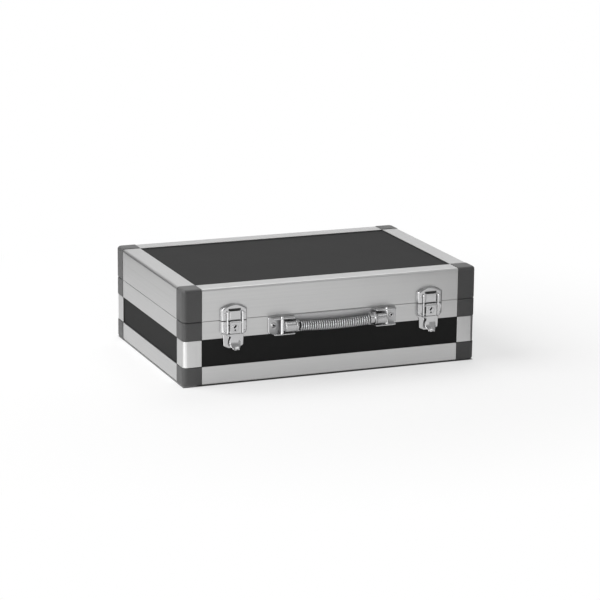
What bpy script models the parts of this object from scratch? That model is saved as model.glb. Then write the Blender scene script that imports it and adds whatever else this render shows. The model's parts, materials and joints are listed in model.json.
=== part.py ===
"""Small flight case: black boards in an aluminium frame, grey corners,
two key-lock draw latches, a spring-wound strap handle and a hinged lid.

Metres, +X to the right seen from the front, +Y to the back, +Z up. The origin
is under the middle of the whole object, on the surface that it stands on.
Heights are measured from that surface. A depth is measured from the outer
face of the aluminium inwards, and "out" from the same face outwards.
"""
import math

import bmesh
import bpy
from mathutils import Matrix, Vector

MM = 0.001

# Case
CASE_W = 352 * MM          # over the aluminium, left to right
CASE_D = 238 * MM          # over the aluminium, front to back
CASE_H = 110 * MM          # over the plastic corners
PARTING_Z = 73 * MM        # top of the base, where the lid starts
RIM_H = 20.3 * MM          # aluminium band along the top of the base
SKIRT_H = 21.9 * MM        # lower frame, from the ground up
LEG = 21.5 * MM            # width of the frame legs and of the corners
GAP = 0.3 * MM             # clearance between pieces that touch
LID_GAP = 0.3 * MM         # slit between the lid and the base

# Sections
SHEET = 1.0 * MM           # aluminium
EDGE_R = 3.0 * MM          # rounding of the edges round the top and the bottom
PLAN_R = 5.0 * MM          # rounding of the upright edges
CORNER_PROUD = 0.5 * MM    # plastic corners over the aluminium
BOARD = 5.0 * MM           # laminated boards
LIP_H = 5.0 * MM           # tongue of the base that stands inside the lid
RIM_TAIL = 12.0 * MM       # inner leg of the rim, down from its web
WEB_CLEAR = 1.3 * MM       # between the tongue's top and the lid's web
GROOVE_Z = 94.0 * MM       # line pressed into the lid walls
GROOVE_W = 1.2 * MM
GROOVE_DEEP = 0.12 * MM
CHAMFER = 0.8 * MM         # broken edges of the corners at the parting line
SHARP_R = 0.4 * MM         # least rounding of a vertical edge
PANEL_INSET = PLAN_R       # board edges that face a rounded corner

# Foam
LINER_GAP = 0.3 * MM
TRAY_WALL = 8 * MM
TRAY_FLOOR = 10 * MM
TRAY_TOP_DROP = 2.3 * MM   # foam tray below the parting line
PAD_T = 12 * MM            # foam pad in the lid

# Latches
LATCH_END = 58 * MM        # from the end of the case to the middle of a latch
PLATE_T = 1.2 * MM
PLATE_ROOT = 0.2 * MM      # raised work stands back this far from its plate's edges
LATCH_W = 31.5 * MM
LATCH_FOOT_W = 25 * MM
LATCH_FOOT_Z = 41 * MM
LATCH_STEP_Z = 54 * MM     # where the plate narrows to its foot
FOOT_CHAMFER = 4 * MM
HOOD_SPRING_Z = 86 * MM    # where the arch of the hood starts
HOOD_TOP_Z = 91.5 * MM
HOOD_OUT = 5.0 * MM        # front of the hood and of the wings
HOOD_EDGE = 1.0 * MM       # rounding of the hood, as a chamfer
CHANNEL_W = 19.8 * MM      # opening between the wings
CHANNEL_TOP_Z = 86.3 * MM
HOOK_W = 13.4 * MM
HOOK_TOP_Z = 84 * MM
MOUTH = 0.6 * MM           # latch plates back from the parting line
PIVOT_Z = 70.3 * MM        # lever pin
PIVOT_OUT = 4.2 * MM
PIN_R = 1.0 * MM
PIN_CHAMFER = 0.3 * MM
LEVER_T = 1.0 * MM
LEVER_W = 13.4 * MM
LEVER_WRAP = 235           # degrees that the lever curls round its pin
LEVER_NECK_Z = 57.4 * MM   # where the lever narrows to its thumb tab
TAB_W = 12.2 * MM
TAB_Z = 40.4 * MM
TAB_OUT = 9.2 * MM
TAB_TIP_SHARE = 0.6        # width of the tip, as a share of the tab's
TAB_CURL = (               # height over the tip, out from the neck, share of the width
    (9.0 * MM, 0.0 * MM, 1.0),
    (5.0 * MM, 0.5 * MM, 1.0),
    (2.0 * MM, 1.8 * MM, 0.9),
)
EAR_T = 1.0 * MM
EAR_R = 2.2 * MM
HASP_BAR = 1.2 * MM        # side bars of the hasp, seen from the front
HASP_T = 1.4 * MM
HASP_CLEAR = 0.4 * MM      # hasp in front of the hook
STUB_Z = 57 * MM           # hasp pivot on the lever
STUB_OUT = 3.7 * MM
STUB_R = 0.9 * MM
HASP_EYE_R = 1.4 * MM
CHEEK_T = 1.0 * MM
CHEEK_R = 1.8 * MM
LOCK_Z = 65 * MM
LOCK_R = 3.0 * MM
LOCK_PROUD = 0.4 * MM
CAM_T = 1.0 * MM
CAM_L = 5.1 * MM
CAM_W = 3.0 * MM
KEY_W = 0.8 * MM           # slanted keyhole, and the round one under it
KEY_L = 2.6 * MM
KEY_DEEP = 1.5 * MM
KEY_SLANT = 30             # degrees
KEY_DOT_R = 0.5 * MM
KEY_DOT_DROP = 1.6 * MM
RIVET_R = 1.7 * MM
RIVET_H = 0.8 * MM
RIVET_SHOULDER = 0.4       # share of the head's height under its crown
RIVET_CROWN = 0.6          # share of its radius that is flat on top
STRIKE_RIVET_R = 1.2 * MM

# Handle
HANDLE_L = 153.4 * MM
HANDLE_PLATE_H = 19.5 * MM
HANDLE_Z = 62.75 * MM
HANDLE_CORNER = 1.8 * MM
BRACKET_LEAN = 1.1 * MM    # outer end of a flange, from the plate to its front edge
BRACKET_TIP_X = 48.5 * MM  # inner end of a flange, at its front edge
BRACKET_ROOT_X = 46.5 * MM # and at the plate
GRIP_OUT = 9.0 * MM        # axis of the grip and of its end pins
HANDLE_PIN_X = 63.0 * MM
HANDLE_PIN_R = 1.5 * MM
PIN_HEAD_R = 2.3 * MM
PIN_HEAD_H = 0.8 * MM
PIN_SLIDE = 7.9 * MM       # how far the right pin can slide in its slots
EYE_R = 1.8 * MM
EYE_H = 9 * MM
EYE_ROOT = 2 * MM          # how far the eye reaches into the drum
DRUM_R = 5.6 * MM
DRUM_X = 61.1 * MM
DRUM_CHAMFER = 1.2 * MM
COLLAR_R = 7.0 * MM
COLLAR_X = 49.5 * MM
COLLAR_T = 2.0 * MM
COLLAR_CHAMFER = 0.5 * MM
STRAP_T = 1.5 * MM         # steel strip inside the spring
STRAP_H = 7.0 * MM
SPRING_R = 6.3 * MM        # over the wire
WIRE_R = 1.1 * MM
SPRING_TURNS = 31
HANDLE_RIVET_X = 71.1 * MM
HANDLE_RIVET_R = 2.6 * MM

# Hinges
HINGE_END = 66 * MM        # from the end of the case to the middle of a hinge
HINGE_W = 40 * MM
HINGE_LEAF_H = 18 * MM
KNUCKLE_R = 3.0 * MM
HINGE_PIN_R = 1.5 * MM
KNUCKLE_W = 16 * MM        # middle knuckle, on the base leaf
KNUCKLE_WRAP = 290         # degrees that a knuckle curls round the pin

# Steps of the round shapes
EDGE_STEPS = 5
FILLET_STEPS = 3
PIN_SIDES = 12
DOT_SIDES = 8
DRUM_SIDES = 20
SPRING_POINTS = 10         # points on one turn
CURL_STEPS = 11
HOOD_STEPS = 8

# Worked out from the sizes above
FACE_BOTTOM = CORNER_PROUD
FACE_TOP = CASE_H - CORNER_PROUD
LID_Z = PARTING_Z + LID_GAP
BOARD_OUT = SHEET + GAP                  # depth of a board's outer face
BOARD_IN = BOARD_OUT + BOARD             # depth of its inner face
LIP_OUT = BOARD_IN + GAP                 # depth of the tongue's outer face
LIP_IN = LIP_OUT + SHEET
RIM_Z = PARTING_Z - RIM_H
FLOOR_TOP = FACE_BOTTOM + SHEET + GAP + BOARD
CEILING = FACE_TOP - SHEET - GAP - BOARD
WEB_Z = PARTING_Z + LIP_H + WEB_CLEAR
LATCH_X = CASE_W / 2 - LATCH_END
HINGE_X = CASE_W / 2 - HINGE_END
PLATE_OUT = GAP + PLATE_T                # front of a plate laid on the face
HINGE_OUT = GAP + KNUCKLE_R
HINGE_Z = PARTING_Z + LID_GAP / 2
LEVER_OUT = PIVOT_OUT + PIN_R + GAP + LEVER_T / 2
HASP_OUT = HOOD_OUT + HASP_CLEAR
HASP_INNER = LEVER_W / 2 + GAP + EAR_T + HASP_CLEAR
BRACKET_X = HANDLE_L / 2 - HANDLE_CORNER
FRONT_REACH = GRIP_OUT + COLLAR_R
BACK_REACH = HINGE_OUT + KNUCKLE_R
SHIFT_Y = (FRONT_REACH - BACK_REACH) / 2

WALLS = {
    "front": ((0, -CASE_D / 2), 0.0, CASE_W / 2),
    "right": ((CASE_W / 2, 0), math.pi / 2, CASE_D / 2),
    "back": ((0, CASE_D / 2), math.pi, CASE_W / 2),
    "left": ((-CASE_W / 2, 0), -math.pi / 2, CASE_D / 2),
}
CORNERS = {
    "front_left": ((-CASE_W / 2, -CASE_D / 2), 0.0),
    "front_right": ((CASE_W / 2, -CASE_D / 2), math.pi / 2),
    "back_right": ((CASE_W / 2, CASE_D / 2), math.pi),
    "back_left": ((-CASE_W / 2, CASE_D / 2), -math.pi / 2),
}

pivots = {}


def clear_scene():
    for item in list(bpy.data.objects):
        bpy.data.objects.remove(item)


def make_material(name, colour, roughness, metallic):
    material = bpy.data.materials.new(name)
    material.use_nodes = True
    shader = material.node_tree.nodes["Principled BSDF"]
    shader.inputs["Base Color"].default_value = (*colour, 1.0)
    shader.inputs["Roughness"].default_value = roughness
    shader.inputs["Metallic"].default_value = metallic
    return material


def make_materials():
    return {
        "aluminium": make_material("aluminium", (0.56, 0.56, 0.56), 0.36, 1.0),
        "chrome": make_material("chrome", (0.58, 0.58, 0.58), 0.2, 1.0),
        "corner_plastic": make_material("corner_plastic", (0.11, 0.11, 0.11), 0.55, 0.0),
        "laminate": make_material("laminate", (0.016, 0.016, 0.016), 0.5, 0.0),
        "foam": make_material("foam", (0.035, 0.035, 0.037), 0.95, 0.0),
        "steel": make_material("steel", (0.45, 0.45, 0.45), 0.3, 1.0),
    }


def pivot(name, at, parent=None):
    """An empty at a place in the case; what turns there is parented to it."""
    empty = bpy.data.objects.new(name, None)
    bpy.context.scene.collection.objects.link(empty)
    pivots[empty.name] = Vector(at)
    if parent:
        empty.parent = parent
        empty.location = Vector(at) - pivots[parent.name]
    return empty


def solid(name, points, faces, material):
    """One closed solid from its points and faces."""
    body = bmesh.new()
    verts = [body.verts.new(point) for point in points]
    for face in faces:
        body.faces.new([verts[index] for index in face])
    bmesh.ops.recalc_face_normals(body, faces=body.faces)
    mesh = bpy.data.meshes.new(name)
    body.to_mesh(mesh)
    body.free()
    mesh.materials.append(material)
    item = bpy.data.objects.new(name, mesh)
    bpy.context.scene.collection.objects.link(item)
    return item


def seat(item, parent, at, turn=0.0):
    """Put an item on its parent, with its own origin at a place in the case."""
    item.parent = parent
    item.location = Vector(at) - pivots[parent.name]
    item.rotation_euler.z = turn
    return item


def recentre(item, origin):
    """Move an item's origin to a point of the frame it was built in."""
    item.data.transform(Matrix.Translation(-Vector(origin)))


def twin(item, name):
    """A second object with the same mesh."""
    copy = bpy.data.objects.new(name, item.data)
    bpy.context.scene.collection.objects.link(copy)
    return copy


def combine(item, tool, operation):
    """Join a tool to an item or cut it out, and drop the tool."""
    modifier = item.modifiers.new("combine", "BOOLEAN")
    modifier.operation = operation
    modifier.solver = "EXACT"
    modifier.object = tool
    graph = bpy.context.evaluated_depsgraph_get()
    mesh = bpy.data.meshes.new_from_object(item.evaluated_get(graph))
    mesh.name = item.name
    item.modifiers.remove(modifier)
    item.data = mesh
    bpy.data.objects.remove(tool)
    return item


def fuse(item, *tools):
    for tool in tools:
        combine(item, tool, "UNION")
    return item


def cut(item, *tools):
    for tool in tools:
        combine(item, tool, "DIFFERENCE")
    return item


def smooth(item, degrees=35):
    item.data.shade_smooth()
    item.data.set_sharp_from_angle(angle=math.radians(degrees))
    return item


def loft(name, rings, material):
    """A solid through closed rings of equal length, with flat ends."""
    size = len(rings[0])
    points = [point for ring in rings for point in ring]
    faces = [list(range(size))]
    for level in range(len(rings) - 1):
        low = level * size
        high = low + size
        for index in range(size):
            after = (index + 1) % size
            faces.append([low + index, low + after, high + after, high + index])
    last = (len(rings) - 1) * size
    faces.append([last + index for index in range(size)])
    return solid(name, points, faces, material)


def box(name, low, high, material):
    x0, y0, z0 = low
    x1, y1, z1 = high
    rings = [[(x0, y0, z), (x1, y0, z), (x1, y1, z), (x0, y1, z)] for z in (z0, z1)]
    return loft(name, rings, material)


def along_x(name, outline, x0, x1, material):
    """A side outline of (out, height) points, run from one x to another."""
    rings = [[(x, -out, z) for out, z in outline] for x in (x0, x1)]
    return loft(name, rings, material)


def facing(name, levels, material):
    """Front outlines of (x, height) points, each at its own out."""
    rings = [[(x, -out, z) for x, z in outline] for out, outline in levels]
    return loft(name, rings, material)


def upright(name, outline, z0, z1, material):
    """A plan outline of (x, out) points, run from one height to another."""
    rings = [[(x, -out, z) for x, out in outline] for z in (z0, z1)]
    return loft(name, rings, material)


def arc(centre, radius, start, end, steps):
    """Points on an arc from one angle to another, in degrees."""
    points = []
    for step in range(steps + 1):
        angle = math.radians(start + (end - start) * step / steps)
        points.append((centre[0] + radius * math.cos(angle), centre[1] + radius * math.sin(angle)))
    return points


def turned(name, profile, axis, sides, material):
    """A round solid from (radius, distance along the axis) points."""
    rings = []
    for radius, reach in profile:
        ring = []
        for side in range(sides):
            angle = 2 * math.pi * side / sides
            a = radius * math.cos(angle)
            b = radius * math.sin(angle)
            ring.append({"X": (reach, a, b), "Y": (b, reach, a), "Z": (a, b, reach)}[axis])
        rings.append(ring)
    return smooth(loft(name, rings, material))


def moved(item, offset):
    item.data.transform(Matrix.Translation(Vector(offset)))
    return item


def rivet(x, z, radius, material):
    """A low round head on a plate, rooted in the plate."""
    root = PLATE_OUT - PLATE_T / 2
    shoulder = PLATE_OUT + RIVET_H * RIVET_SHOULDER
    profile = [(radius, -root), (radius, -shoulder), (radius * RIVET_CROWN, -PLATE_OUT - RIVET_H)]
    return moved(turned("rivet", profile, "Y", PIN_SIDES, material), (x, 0, z))


def sheet_strip(name, line, widths, thickness, material):
    """A bent strip of sheet along (out, height) points, each with its own width."""
    rings = []
    for index, (out, z) in enumerate(line):
        before = Vector(line[max(index - 1, 0)])
        after = Vector(line[min(index + 1, len(line) - 1)])
        here = Vector((out, z))
        into = (here - before).normalized()
        onward = (after - here).normalized()
        run = (into + onward).normalized()
        lean = run.dot(onward if index == 0 else into)
        side = Vector((-run.y, run.x)) * thickness / 2 / lean
        half = widths[index] / 2
        near, far = here + side, here - side
        rings.append([(-half, -near.x, near.y), (half, -near.x, near.y),
                      (half, -far.x, far.y), (-half, -far.x, far.y)])
    return loft(name, rings, material)


def plan_path(depth, leg):
    """Plan line of a corner at one depth: a wall, the rounded edge, the other wall."""
    radius = max(PLAN_R - depth, SHARP_R)
    middle = depth + radius
    return [(leg, depth), *arc((middle, middle), radius, 270, 180, EDGE_STEPS), (depth, leg)]


def corner_rings(section, leg):
    return [[(x, y, z) for x, y in plan_path(depth, leg)] for depth, z in section]


def corner_wall(name, section, leg, material):
    """A closed section of (depth, height) points run round a corner of the case."""
    rings = corner_rings(section, leg)
    size = len(rings[0])
    points = [point for ring in rings for point in ring]
    count = len(rings)
    faces = []
    for level in range(count):
        low = level * size
        high = (level + 1) % count * size
        for index in range(size - 1):
            faces.append([low + index, low + index + 1, high + index + 1, high + index])
    faces.append([level * size for level in range(count)])
    faces.append([level * size + size - 1 for level in range(count)])
    return smooth(solid(name, points, faces, material))


def corner_shell(name, outer, inner, leg, material):
    """A three-sided corner cap from its outer and inner section, mouth first."""
    section = outer + inner[::-1]
    rings = corner_rings(section, leg)
    size = len(rings[0])
    points = [point for ring in rings for point in ring]
    count = len(rings)
    lip = len(outer) - 1
    faces = []
    for level in range(count):
        if level == lip:
            continue
        low = level * size
        high = (level + 1) % count * size
        for index in range(size - 1):
            faces.append([low + index, low + index + 1, high + index + 1, high + index])
    tip_out = len(points)
    tip_in = tip_out + 1
    points.append((leg, leg, outer[-1][1]))
    points.append((leg, leg, inner[-1][1]))
    for level, tip in ((lip, tip_out), (lip + 1, tip_in)):
        faces.append([level * size + index for index in range(size)] + [tip])
    for end in (0, size - 1):
        outer_end = [level * size + end for level in range(lip + 1)]
        inner_end = [level * size + end for level in range(lip + 1, count)]
        faces.append(outer_end + [tip_out, tip_in] + inner_end)
    return smooth(solid(name, points, faces, material))


def edge_fillet(depth, z_end, inward):
    """Rounded edge of a section, from a wall at this depth to the flat end."""
    radius = EDGE_R - depth
    centre_z = z_end - inward * radius
    points = []
    for step in range(FILLET_STEPS + 1):
        angle = math.pi / 2 * step / FILLET_STEPS
        points.append((EDGE_R - radius * math.cos(angle), centre_z + inward * radius * math.sin(angle)))
    return points


def frame_section(z_open, z_end, inward, groove=False):
    """L section of a lid or base profile: a wall leg and a leg on the flat side."""
    outer = [(0, z_open)]
    if groove:
        outer += [(0, GROOVE_Z - GROOVE_W / 2), (GROOVE_DEEP, GROOVE_Z - GROOVE_W / 4),
                  (GROOVE_DEEP, GROOVE_Z + GROOVE_W / 4), (0, GROOVE_Z + GROOVE_W / 2)]
    outer += edge_fillet(0, z_end, inward)
    inner = edge_fillet(SHEET, z_end - inward * SHEET, inward)
    return outer + [(LEG, z_end), (LEG, z_end - inward * SHEET)] + inner[::-1] + [(SHEET, z_open)]


def rim_section(outer_depth, top_chamfer=0.0):
    """Section along the parting line: outer wall, web, inner leg and tongue."""
    top = [(outer_depth, PARTING_Z)]
    if top_chamfer:
        top = [(outer_depth + top_chamfer, PARTING_Z), (outer_depth, PARTING_Z - top_chamfer)]
    return [
        *top,
        (outer_depth, RIM_Z),
        (SHEET, RIM_Z),
        (SHEET, PARTING_Z - SHEET),
        (LIP_OUT, PARTING_Z - SHEET),
        (LIP_OUT, PARTING_Z - SHEET - RIM_TAIL),
        (LIP_IN, PARTING_Z - SHEET - RIM_TAIL),
        (LIP_IN, PARTING_Z + LIP_H),
        (LIP_OUT, PARTING_Z + LIP_H),
        (LIP_OUT, PARTING_Z),
    ]


def wall_run(name, section, side, parent, material):
    """A section run along one wall, between the two corner pieces."""
    half = WALLS[side][2] - LEG - GAP
    rings = [[(x, depth, z) for depth, z in section] for x in (-half, half)]
    return smooth(on_wall(loft(name, rings, material), side, parent))


def on_wall(item, side, parent):
    (x, y), turn, _ = WALLS[side]
    height = pivots[parent.name].z
    recentre(item, (0, 0, height))
    return seat(item, parent, (x, y, height), turn)


def lid_profile_section():
    """Lid section: top leg, rounded edge, grooved wall, and the web for the boards."""
    shape = frame_section(LID_Z, FACE_TOP, 1, groove=True)
    web = [(SHEET, WEB_Z + SHEET), (BOARD_IN, WEB_Z + SHEET), (BOARD_IN, WEB_Z), (SHEET, WEB_Z)]
    return shape[:-1] + web + shape[-1:]


def make_frame(case, lid, materials):
    """Aluminium profiles and posts."""
    metal = materials["aluminium"]
    for side in WALLS:
        wall_run(f"lid_profile_{side}", lid_profile_section(), side, lid, metal)
        wall_run(f"base_rim_{side}", rim_section(0), side, case, metal)
        wall_run(f"base_profile_{side}", frame_section(SKIRT_H, FACE_BOTTOM, -1), side, case, metal)
    post = [(0, SKIRT_H + GAP), (SHEET, SKIRT_H + GAP), (SHEET, RIM_Z - GAP), (0, RIM_Z - GAP)]
    on_corners("corner_post", corner_wall("corner_post", post, LEG, metal), case)


def on_corners(name, item, parent):
    """Seat a corner piece and its three twins on the corners of the case."""
    recentre(item, (0, 0, pivots[parent.name].z))
    pieces = [item, *(twin(item, name) for _ in range(3))]
    for piece, (corner, ((x, y), turn)) in zip(pieces, CORNERS.items()):
        piece.name = f"{name}_{corner}"
        seat(piece, parent, (x, y, pivots[parent.name].z), turn)


def make_corners(case, lid, materials):
    """Grey plastic corners of the lid, the rim and the bottom."""
    plastic = materials["corner_plastic"]
    wall_t = CORNER_PROUD + SHEET
    outside = -CORNER_PROUD
    lid_outer = [(outside + CHAMFER, LID_Z), (outside, LID_Z + CHAMFER), *edge_fillet(outside, CASE_H, 1)]
    lid_inner = [(SHEET, LID_Z), *edge_fillet(SHEET, CASE_H - wall_t, 1)]
    on_corners("lid_corner", corner_shell("lid_corner", lid_outer, lid_inner, LEG, plastic), lid)
    low_outer = [(outside, SKIRT_H), *edge_fillet(outside, 0, -1)]
    low_inner = [(SHEET, SKIRT_H), *edge_fillet(SHEET, wall_t, -1)]
    on_corners("bottom_corner", corner_shell("bottom_corner", low_outer, low_inner, LEG, plastic), case)
    rim = corner_wall("rim_corner", rim_section(outside, CHAMFER), LEG, plastic)
    on_corners("rim_corner", rim, case)


def block_at_depth(name, depth, z0, z1, material):
    """A block whose sides all lie at one depth."""
    half_x = CASE_W / 2 - depth
    half_y = CASE_D / 2 - depth
    return box(name, (-half_x, -half_y, z0), (half_x, half_y, z1), material)


def seat_level(item, parent):
    """Seat an item that was built at its heights in the case."""
    height = pivots[parent.name].z
    recentre(item, (0, 0, height))
    return seat(item, parent, (0, 0, height))


def wall_board(name, side, end_inset, z0, z1, parent, material):
    half = WALLS[side][2] - end_inset
    item = box(name, (-half, BOARD_OUT, z0), (half, BOARD_IN, z1), material)
    return on_wall(item, side, parent)


def ring_plan(depth, chamfer):
    """Plan of a ring at one depth, with its corners cut off."""
    x = CASE_W / 2 - depth
    y = CASE_D / 2 - depth
    return [(x - chamfer, -y), (x, -y + chamfer), (x, y - chamfer), (x - chamfer, y),
            (-x + chamfer, y), (-x, y - chamfer), (-x, -y + chamfer), (-x + chamfer, -y)]


def lid_ring(name, z0, z1, material):
    """The lid's four wall boards, glued into one ring."""
    outside = ring_plan(BOARD_OUT, PANEL_INSET - BOARD_OUT)
    inside = ring_plan(BOARD_IN, SHARP_R / 2)
    loops = [[(x, y, z) for x, y in plan] for plan, z in
             ((outside, z0), (outside, z1), (inside, z1), (inside, z0))]
    size = len(loops[0])
    points = [point for loop in loops for point in loop]
    faces = []
    for level in range(len(loops)):
        low = level * size
        high = (level + 1) % len(loops) * size
        for index in range(size):
            after = (index + 1) % size
            faces.append([low + index, low + after, high + after, high + index])
    return solid(name, points, faces, material)


def make_boards(case, lid, materials):
    """Black laminated panels and the lid's ring of wall boards."""
    black = materials["laminate"]
    seat_level(block_at_depth("lid_top_panel", PANEL_INSET, CEILING, CEILING + BOARD, black), lid)
    seat_level(block_at_depth("base_bottom_panel", PANEL_INSET, FLOOR_TOP - BOARD, FLOOR_TOP, black), case)
    z0 = FLOOR_TOP + GAP
    z1 = PARTING_Z - SHEET - GAP
    for side in ("front", "back"):
        wall_board(f"base_panel_{side}", side, PANEL_INSET, z0, z1, case, black)
    for side in ("left", "right"):
        wall_board(f"base_panel_{side}", side, BOARD_IN + GAP, z0, z1, case, black)
    seat_level(lid_ring("lid_wall_frame", WEB_Z + SHEET + GAP, CEILING - GAP, black), lid)


def make_foam(case, lid, materials):
    """Foam tray with its pocket in the base, and the pad in the lid."""
    soft = materials["foam"]
    tray_depth = LIP_IN + LINER_GAP
    tray_top = PARTING_Z - TRAY_TOP_DROP
    tray_low = FLOOR_TOP + LINER_GAP
    tray = block_at_depth("base_foam", tray_depth, tray_low, tray_top, soft)
    pocket = block_at_depth("pocket", tray_depth + TRAY_WALL, tray_low + TRAY_FLOOR,
                            tray_top + TRAY_FLOOR, soft)
    seat_level(cut(tray, pocket), case)
    pad_top = CEILING - LINER_GAP
    seat_level(block_at_depth("lid_foam", BOARD_IN + LINER_GAP, pad_top - PAD_T, pad_top, soft), lid)


def hood_outline(half_w, z_low, z_spring, z_top):
    """An arch over straight sides: (x, height) points from the lower right round to the left."""
    rise = z_top - z_spring
    radius = (half_w ** 2 + rise ** 2) / (2 * rise)
    spread = math.degrees(math.asin(half_w / radius))
    crown = arc((0, z_top - radius), radius, 90 - spread, 90 + spread, HOOD_STEPS)
    return [(half_w, z_low), *crown, (-half_w, z_low)]


def hood_band(inset):
    """The hood's raised band round the channel for the hasp."""
    half = LATCH_W / 2 - inset
    z_low = PARTING_Z + MOUTH + PLATE_ROOT
    channel = CHANNEL_W / 2
    outer = hood_outline(half, z_low, HOOD_SPRING_Z - inset, HOOD_TOP_Z - inset)
    return outer + [(-channel, z_low), (-channel, CHANNEL_TOP_Z), (channel, CHANNEL_TOP_Z), (channel, z_low)]


def make_strike(materials):
    """Hood with its hook, on the lid."""
    chrome = materials["chrome"]
    z_low = PARTING_Z + MOUTH
    outline = hood_outline(LATCH_W / 2, z_low, HOOD_SPRING_Z, HOOD_TOP_Z)
    strike = facing("latch_strike", [(GAP, outline), (PLATE_OUT, outline)], chrome)
    root = PLATE_OUT - PLATE_T / 2
    band = facing("band", [(root, hood_band(PLATE_ROOT)), (HOOD_OUT - HOOD_EDGE, hood_band(PLATE_ROOT)),
                           (HOOD_OUT, hood_band(PLATE_ROOT + HOOD_EDGE))], chrome)
    hook = box("hook", (-HOOK_W / 2, -HOOD_OUT, z_low + 2 * PLATE_ROOT),
               (HOOK_W / 2, -root, HOOK_TOP_Z), chrome)
    fuse(strike, band, hook)
    for side in (-1, 1):
        head = rivet(0, 0, STRIKE_RIVET_R, chrome)
        moved(head, (side * (LATCH_W + CHANNEL_W) / 4, PLATE_OUT - HOOD_OUT, HOOK_TOP_Z - RIVET_R))
        fuse(strike, head)
    return smooth(strike)


def wing_outline(inset):
    """Right wing of the latch plate, narrowing towards the foot."""
    outer = LATCH_W / 2 - inset
    foot = LATCH_FOOT_W / 2 - inset
    channel = CHANNEL_W / 2
    top = PARTING_Z - MOUTH - PLATE_ROOT
    low = LATCH_STEP_Z + inset
    step = LATCH_STEP_Z + (LATCH_W - LATCH_FOOT_W) / 2
    return [(channel, top), (outer, top), (outer, step), (foot, low), (channel, low)]


def make_latch_plate(materials):
    """Plate on the base with its two wings and the ears of the lever pin."""
    chrome = materials["chrome"]
    half = LATCH_W / 2
    foot = LATCH_FOOT_W / 2
    top = PARTING_Z - MOUTH
    right = [(half, top), (half, LATCH_STEP_Z), (foot, LATCH_STEP_Z - (half - foot)),
             (foot, LATCH_FOOT_Z + FOOT_CHAMFER), (foot - FOOT_CHAMFER, LATCH_FOOT_Z)]
    outline = right + [(-x, z) for x, z in right[::-1]]
    plate = facing("latch_plate", [(GAP, outline), (PLATE_OUT, outline)], chrome)
    root = PLATE_OUT - PLATE_T / 2
    steps = ((root, PLATE_ROOT), (HOOD_OUT - HOOD_EDGE, PLATE_ROOT), (HOOD_OUT, PLATE_ROOT + HOOD_EDGE))
    for side in (-1, 1):
        levels = [(out, [(side * x, z) for x, z in wing_outline(inset)]) for out, inset in steps]
        fuse(plate, facing("wing", levels, chrome))
        head = moved(rivet(0, 0, RIVET_R, chrome),
                     (side * (LATCH_W + CHANNEL_W) / 4, PLATE_OUT - HOOD_OUT, STUB_Z + 2 * RIVET_R))
        fuse(plate, head)
        inner = side * (LEVER_W / 2 + GAP)
        outer = inner + side * EAR_T
        crest = arc((PIVOT_OUT, PIVOT_Z), EAR_R, -80, 90, 5)
        ear = along_x("ear", [(root, PIVOT_Z - 2 * EAR_R), *crest, (root, PIVOT_Z + EAR_R - PLATE_ROOT)],
                      inner, outer, chrome)
        fuse(plate, ear)
    bore_line = [(PIN_R + GAP, -LATCH_W / 3), (PIN_R + GAP, LATCH_W / 3)]
    bore = turned("bore", bore_line, "X", PIN_SIDES, chrome)
    return smooth(cut(plate, moved(bore, (0, -PIVOT_OUT, PIVOT_Z))))


def make_lever(materials):
    """Lever: a curl round the pin, the face with the lock, cheeks and a thumb tab."""
    chrome = materials["chrome"]
    curl_r = PIN_R + GAP + LEVER_T / 2
    line = arc((PIVOT_OUT, PIVOT_Z), curl_r, LEVER_WRAP, 0, CURL_STEPS)
    widths = [LEVER_W] * len(line)
    face_low = (LEVER_OUT, LEVER_NECK_Z + LEVER_T)
    neck_out = LEVER_OUT - LEVER_T
    tail = [
        (face_low, LEVER_W),
        ((neck_out + LEVER_T / 4, LEVER_NECK_Z), LEVER_W),
        ((neck_out, LEVER_NECK_Z - LEVER_T / 2), TAB_W),
        *(((neck_out + out, TAB_Z + up), TAB_W * share) for up, out, share in TAB_CURL),
        ((TAB_OUT, TAB_Z), TAB_W * TAB_TIP_SHARE),
    ]
    line += [point for point, _ in tail]
    widths += [width for _, width in tail]
    lever = sheet_strip("latch_lever", line, widths, LEVER_T, chrome)
    for side in (-1, 1):
        outer = side * (LEVER_W / 2 - PLATE_ROOT)
        inner = outer - side * CHEEK_T
        root = LEVER_OUT - LEVER_T / 4
        foot_root = neck_out - LEVER_T / 4
        round_end = arc((STUB_OUT, STUB_Z), CHEEK_R, 100, 260, 5)
        cheek = along_x("cheek", [(root, STUB_Z + 3 * CHEEK_R), *round_end,
                                  (foot_root, STUB_Z - CHEEK_R), (foot_root, LEVER_NECK_Z),
                                  (root, LEVER_NECK_Z + LEVER_T)], inner, outer, chrome)
        fuse(lever, cheek)
    stub_bore = turned("bore", [(STUB_R + GAP, -LATCH_W / 3), (STUB_R + GAP, LATCH_W / 3)], "X", PIN_SIDES,
                       chrome)
    lock_bore = turned("bore", [(LOCK_R + GAP, -LEVER_OUT - LEVER_T), (LOCK_R + GAP, -LEVER_OUT + LEVER_T)],
                       "Y", DRUM_SIDES, chrome)
    cut(lever, moved(stub_bore, (0, -STUB_OUT, STUB_Z)), moved(lock_bore, (0, 0, LOCK_Z)))
    return smooth(lever)


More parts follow.
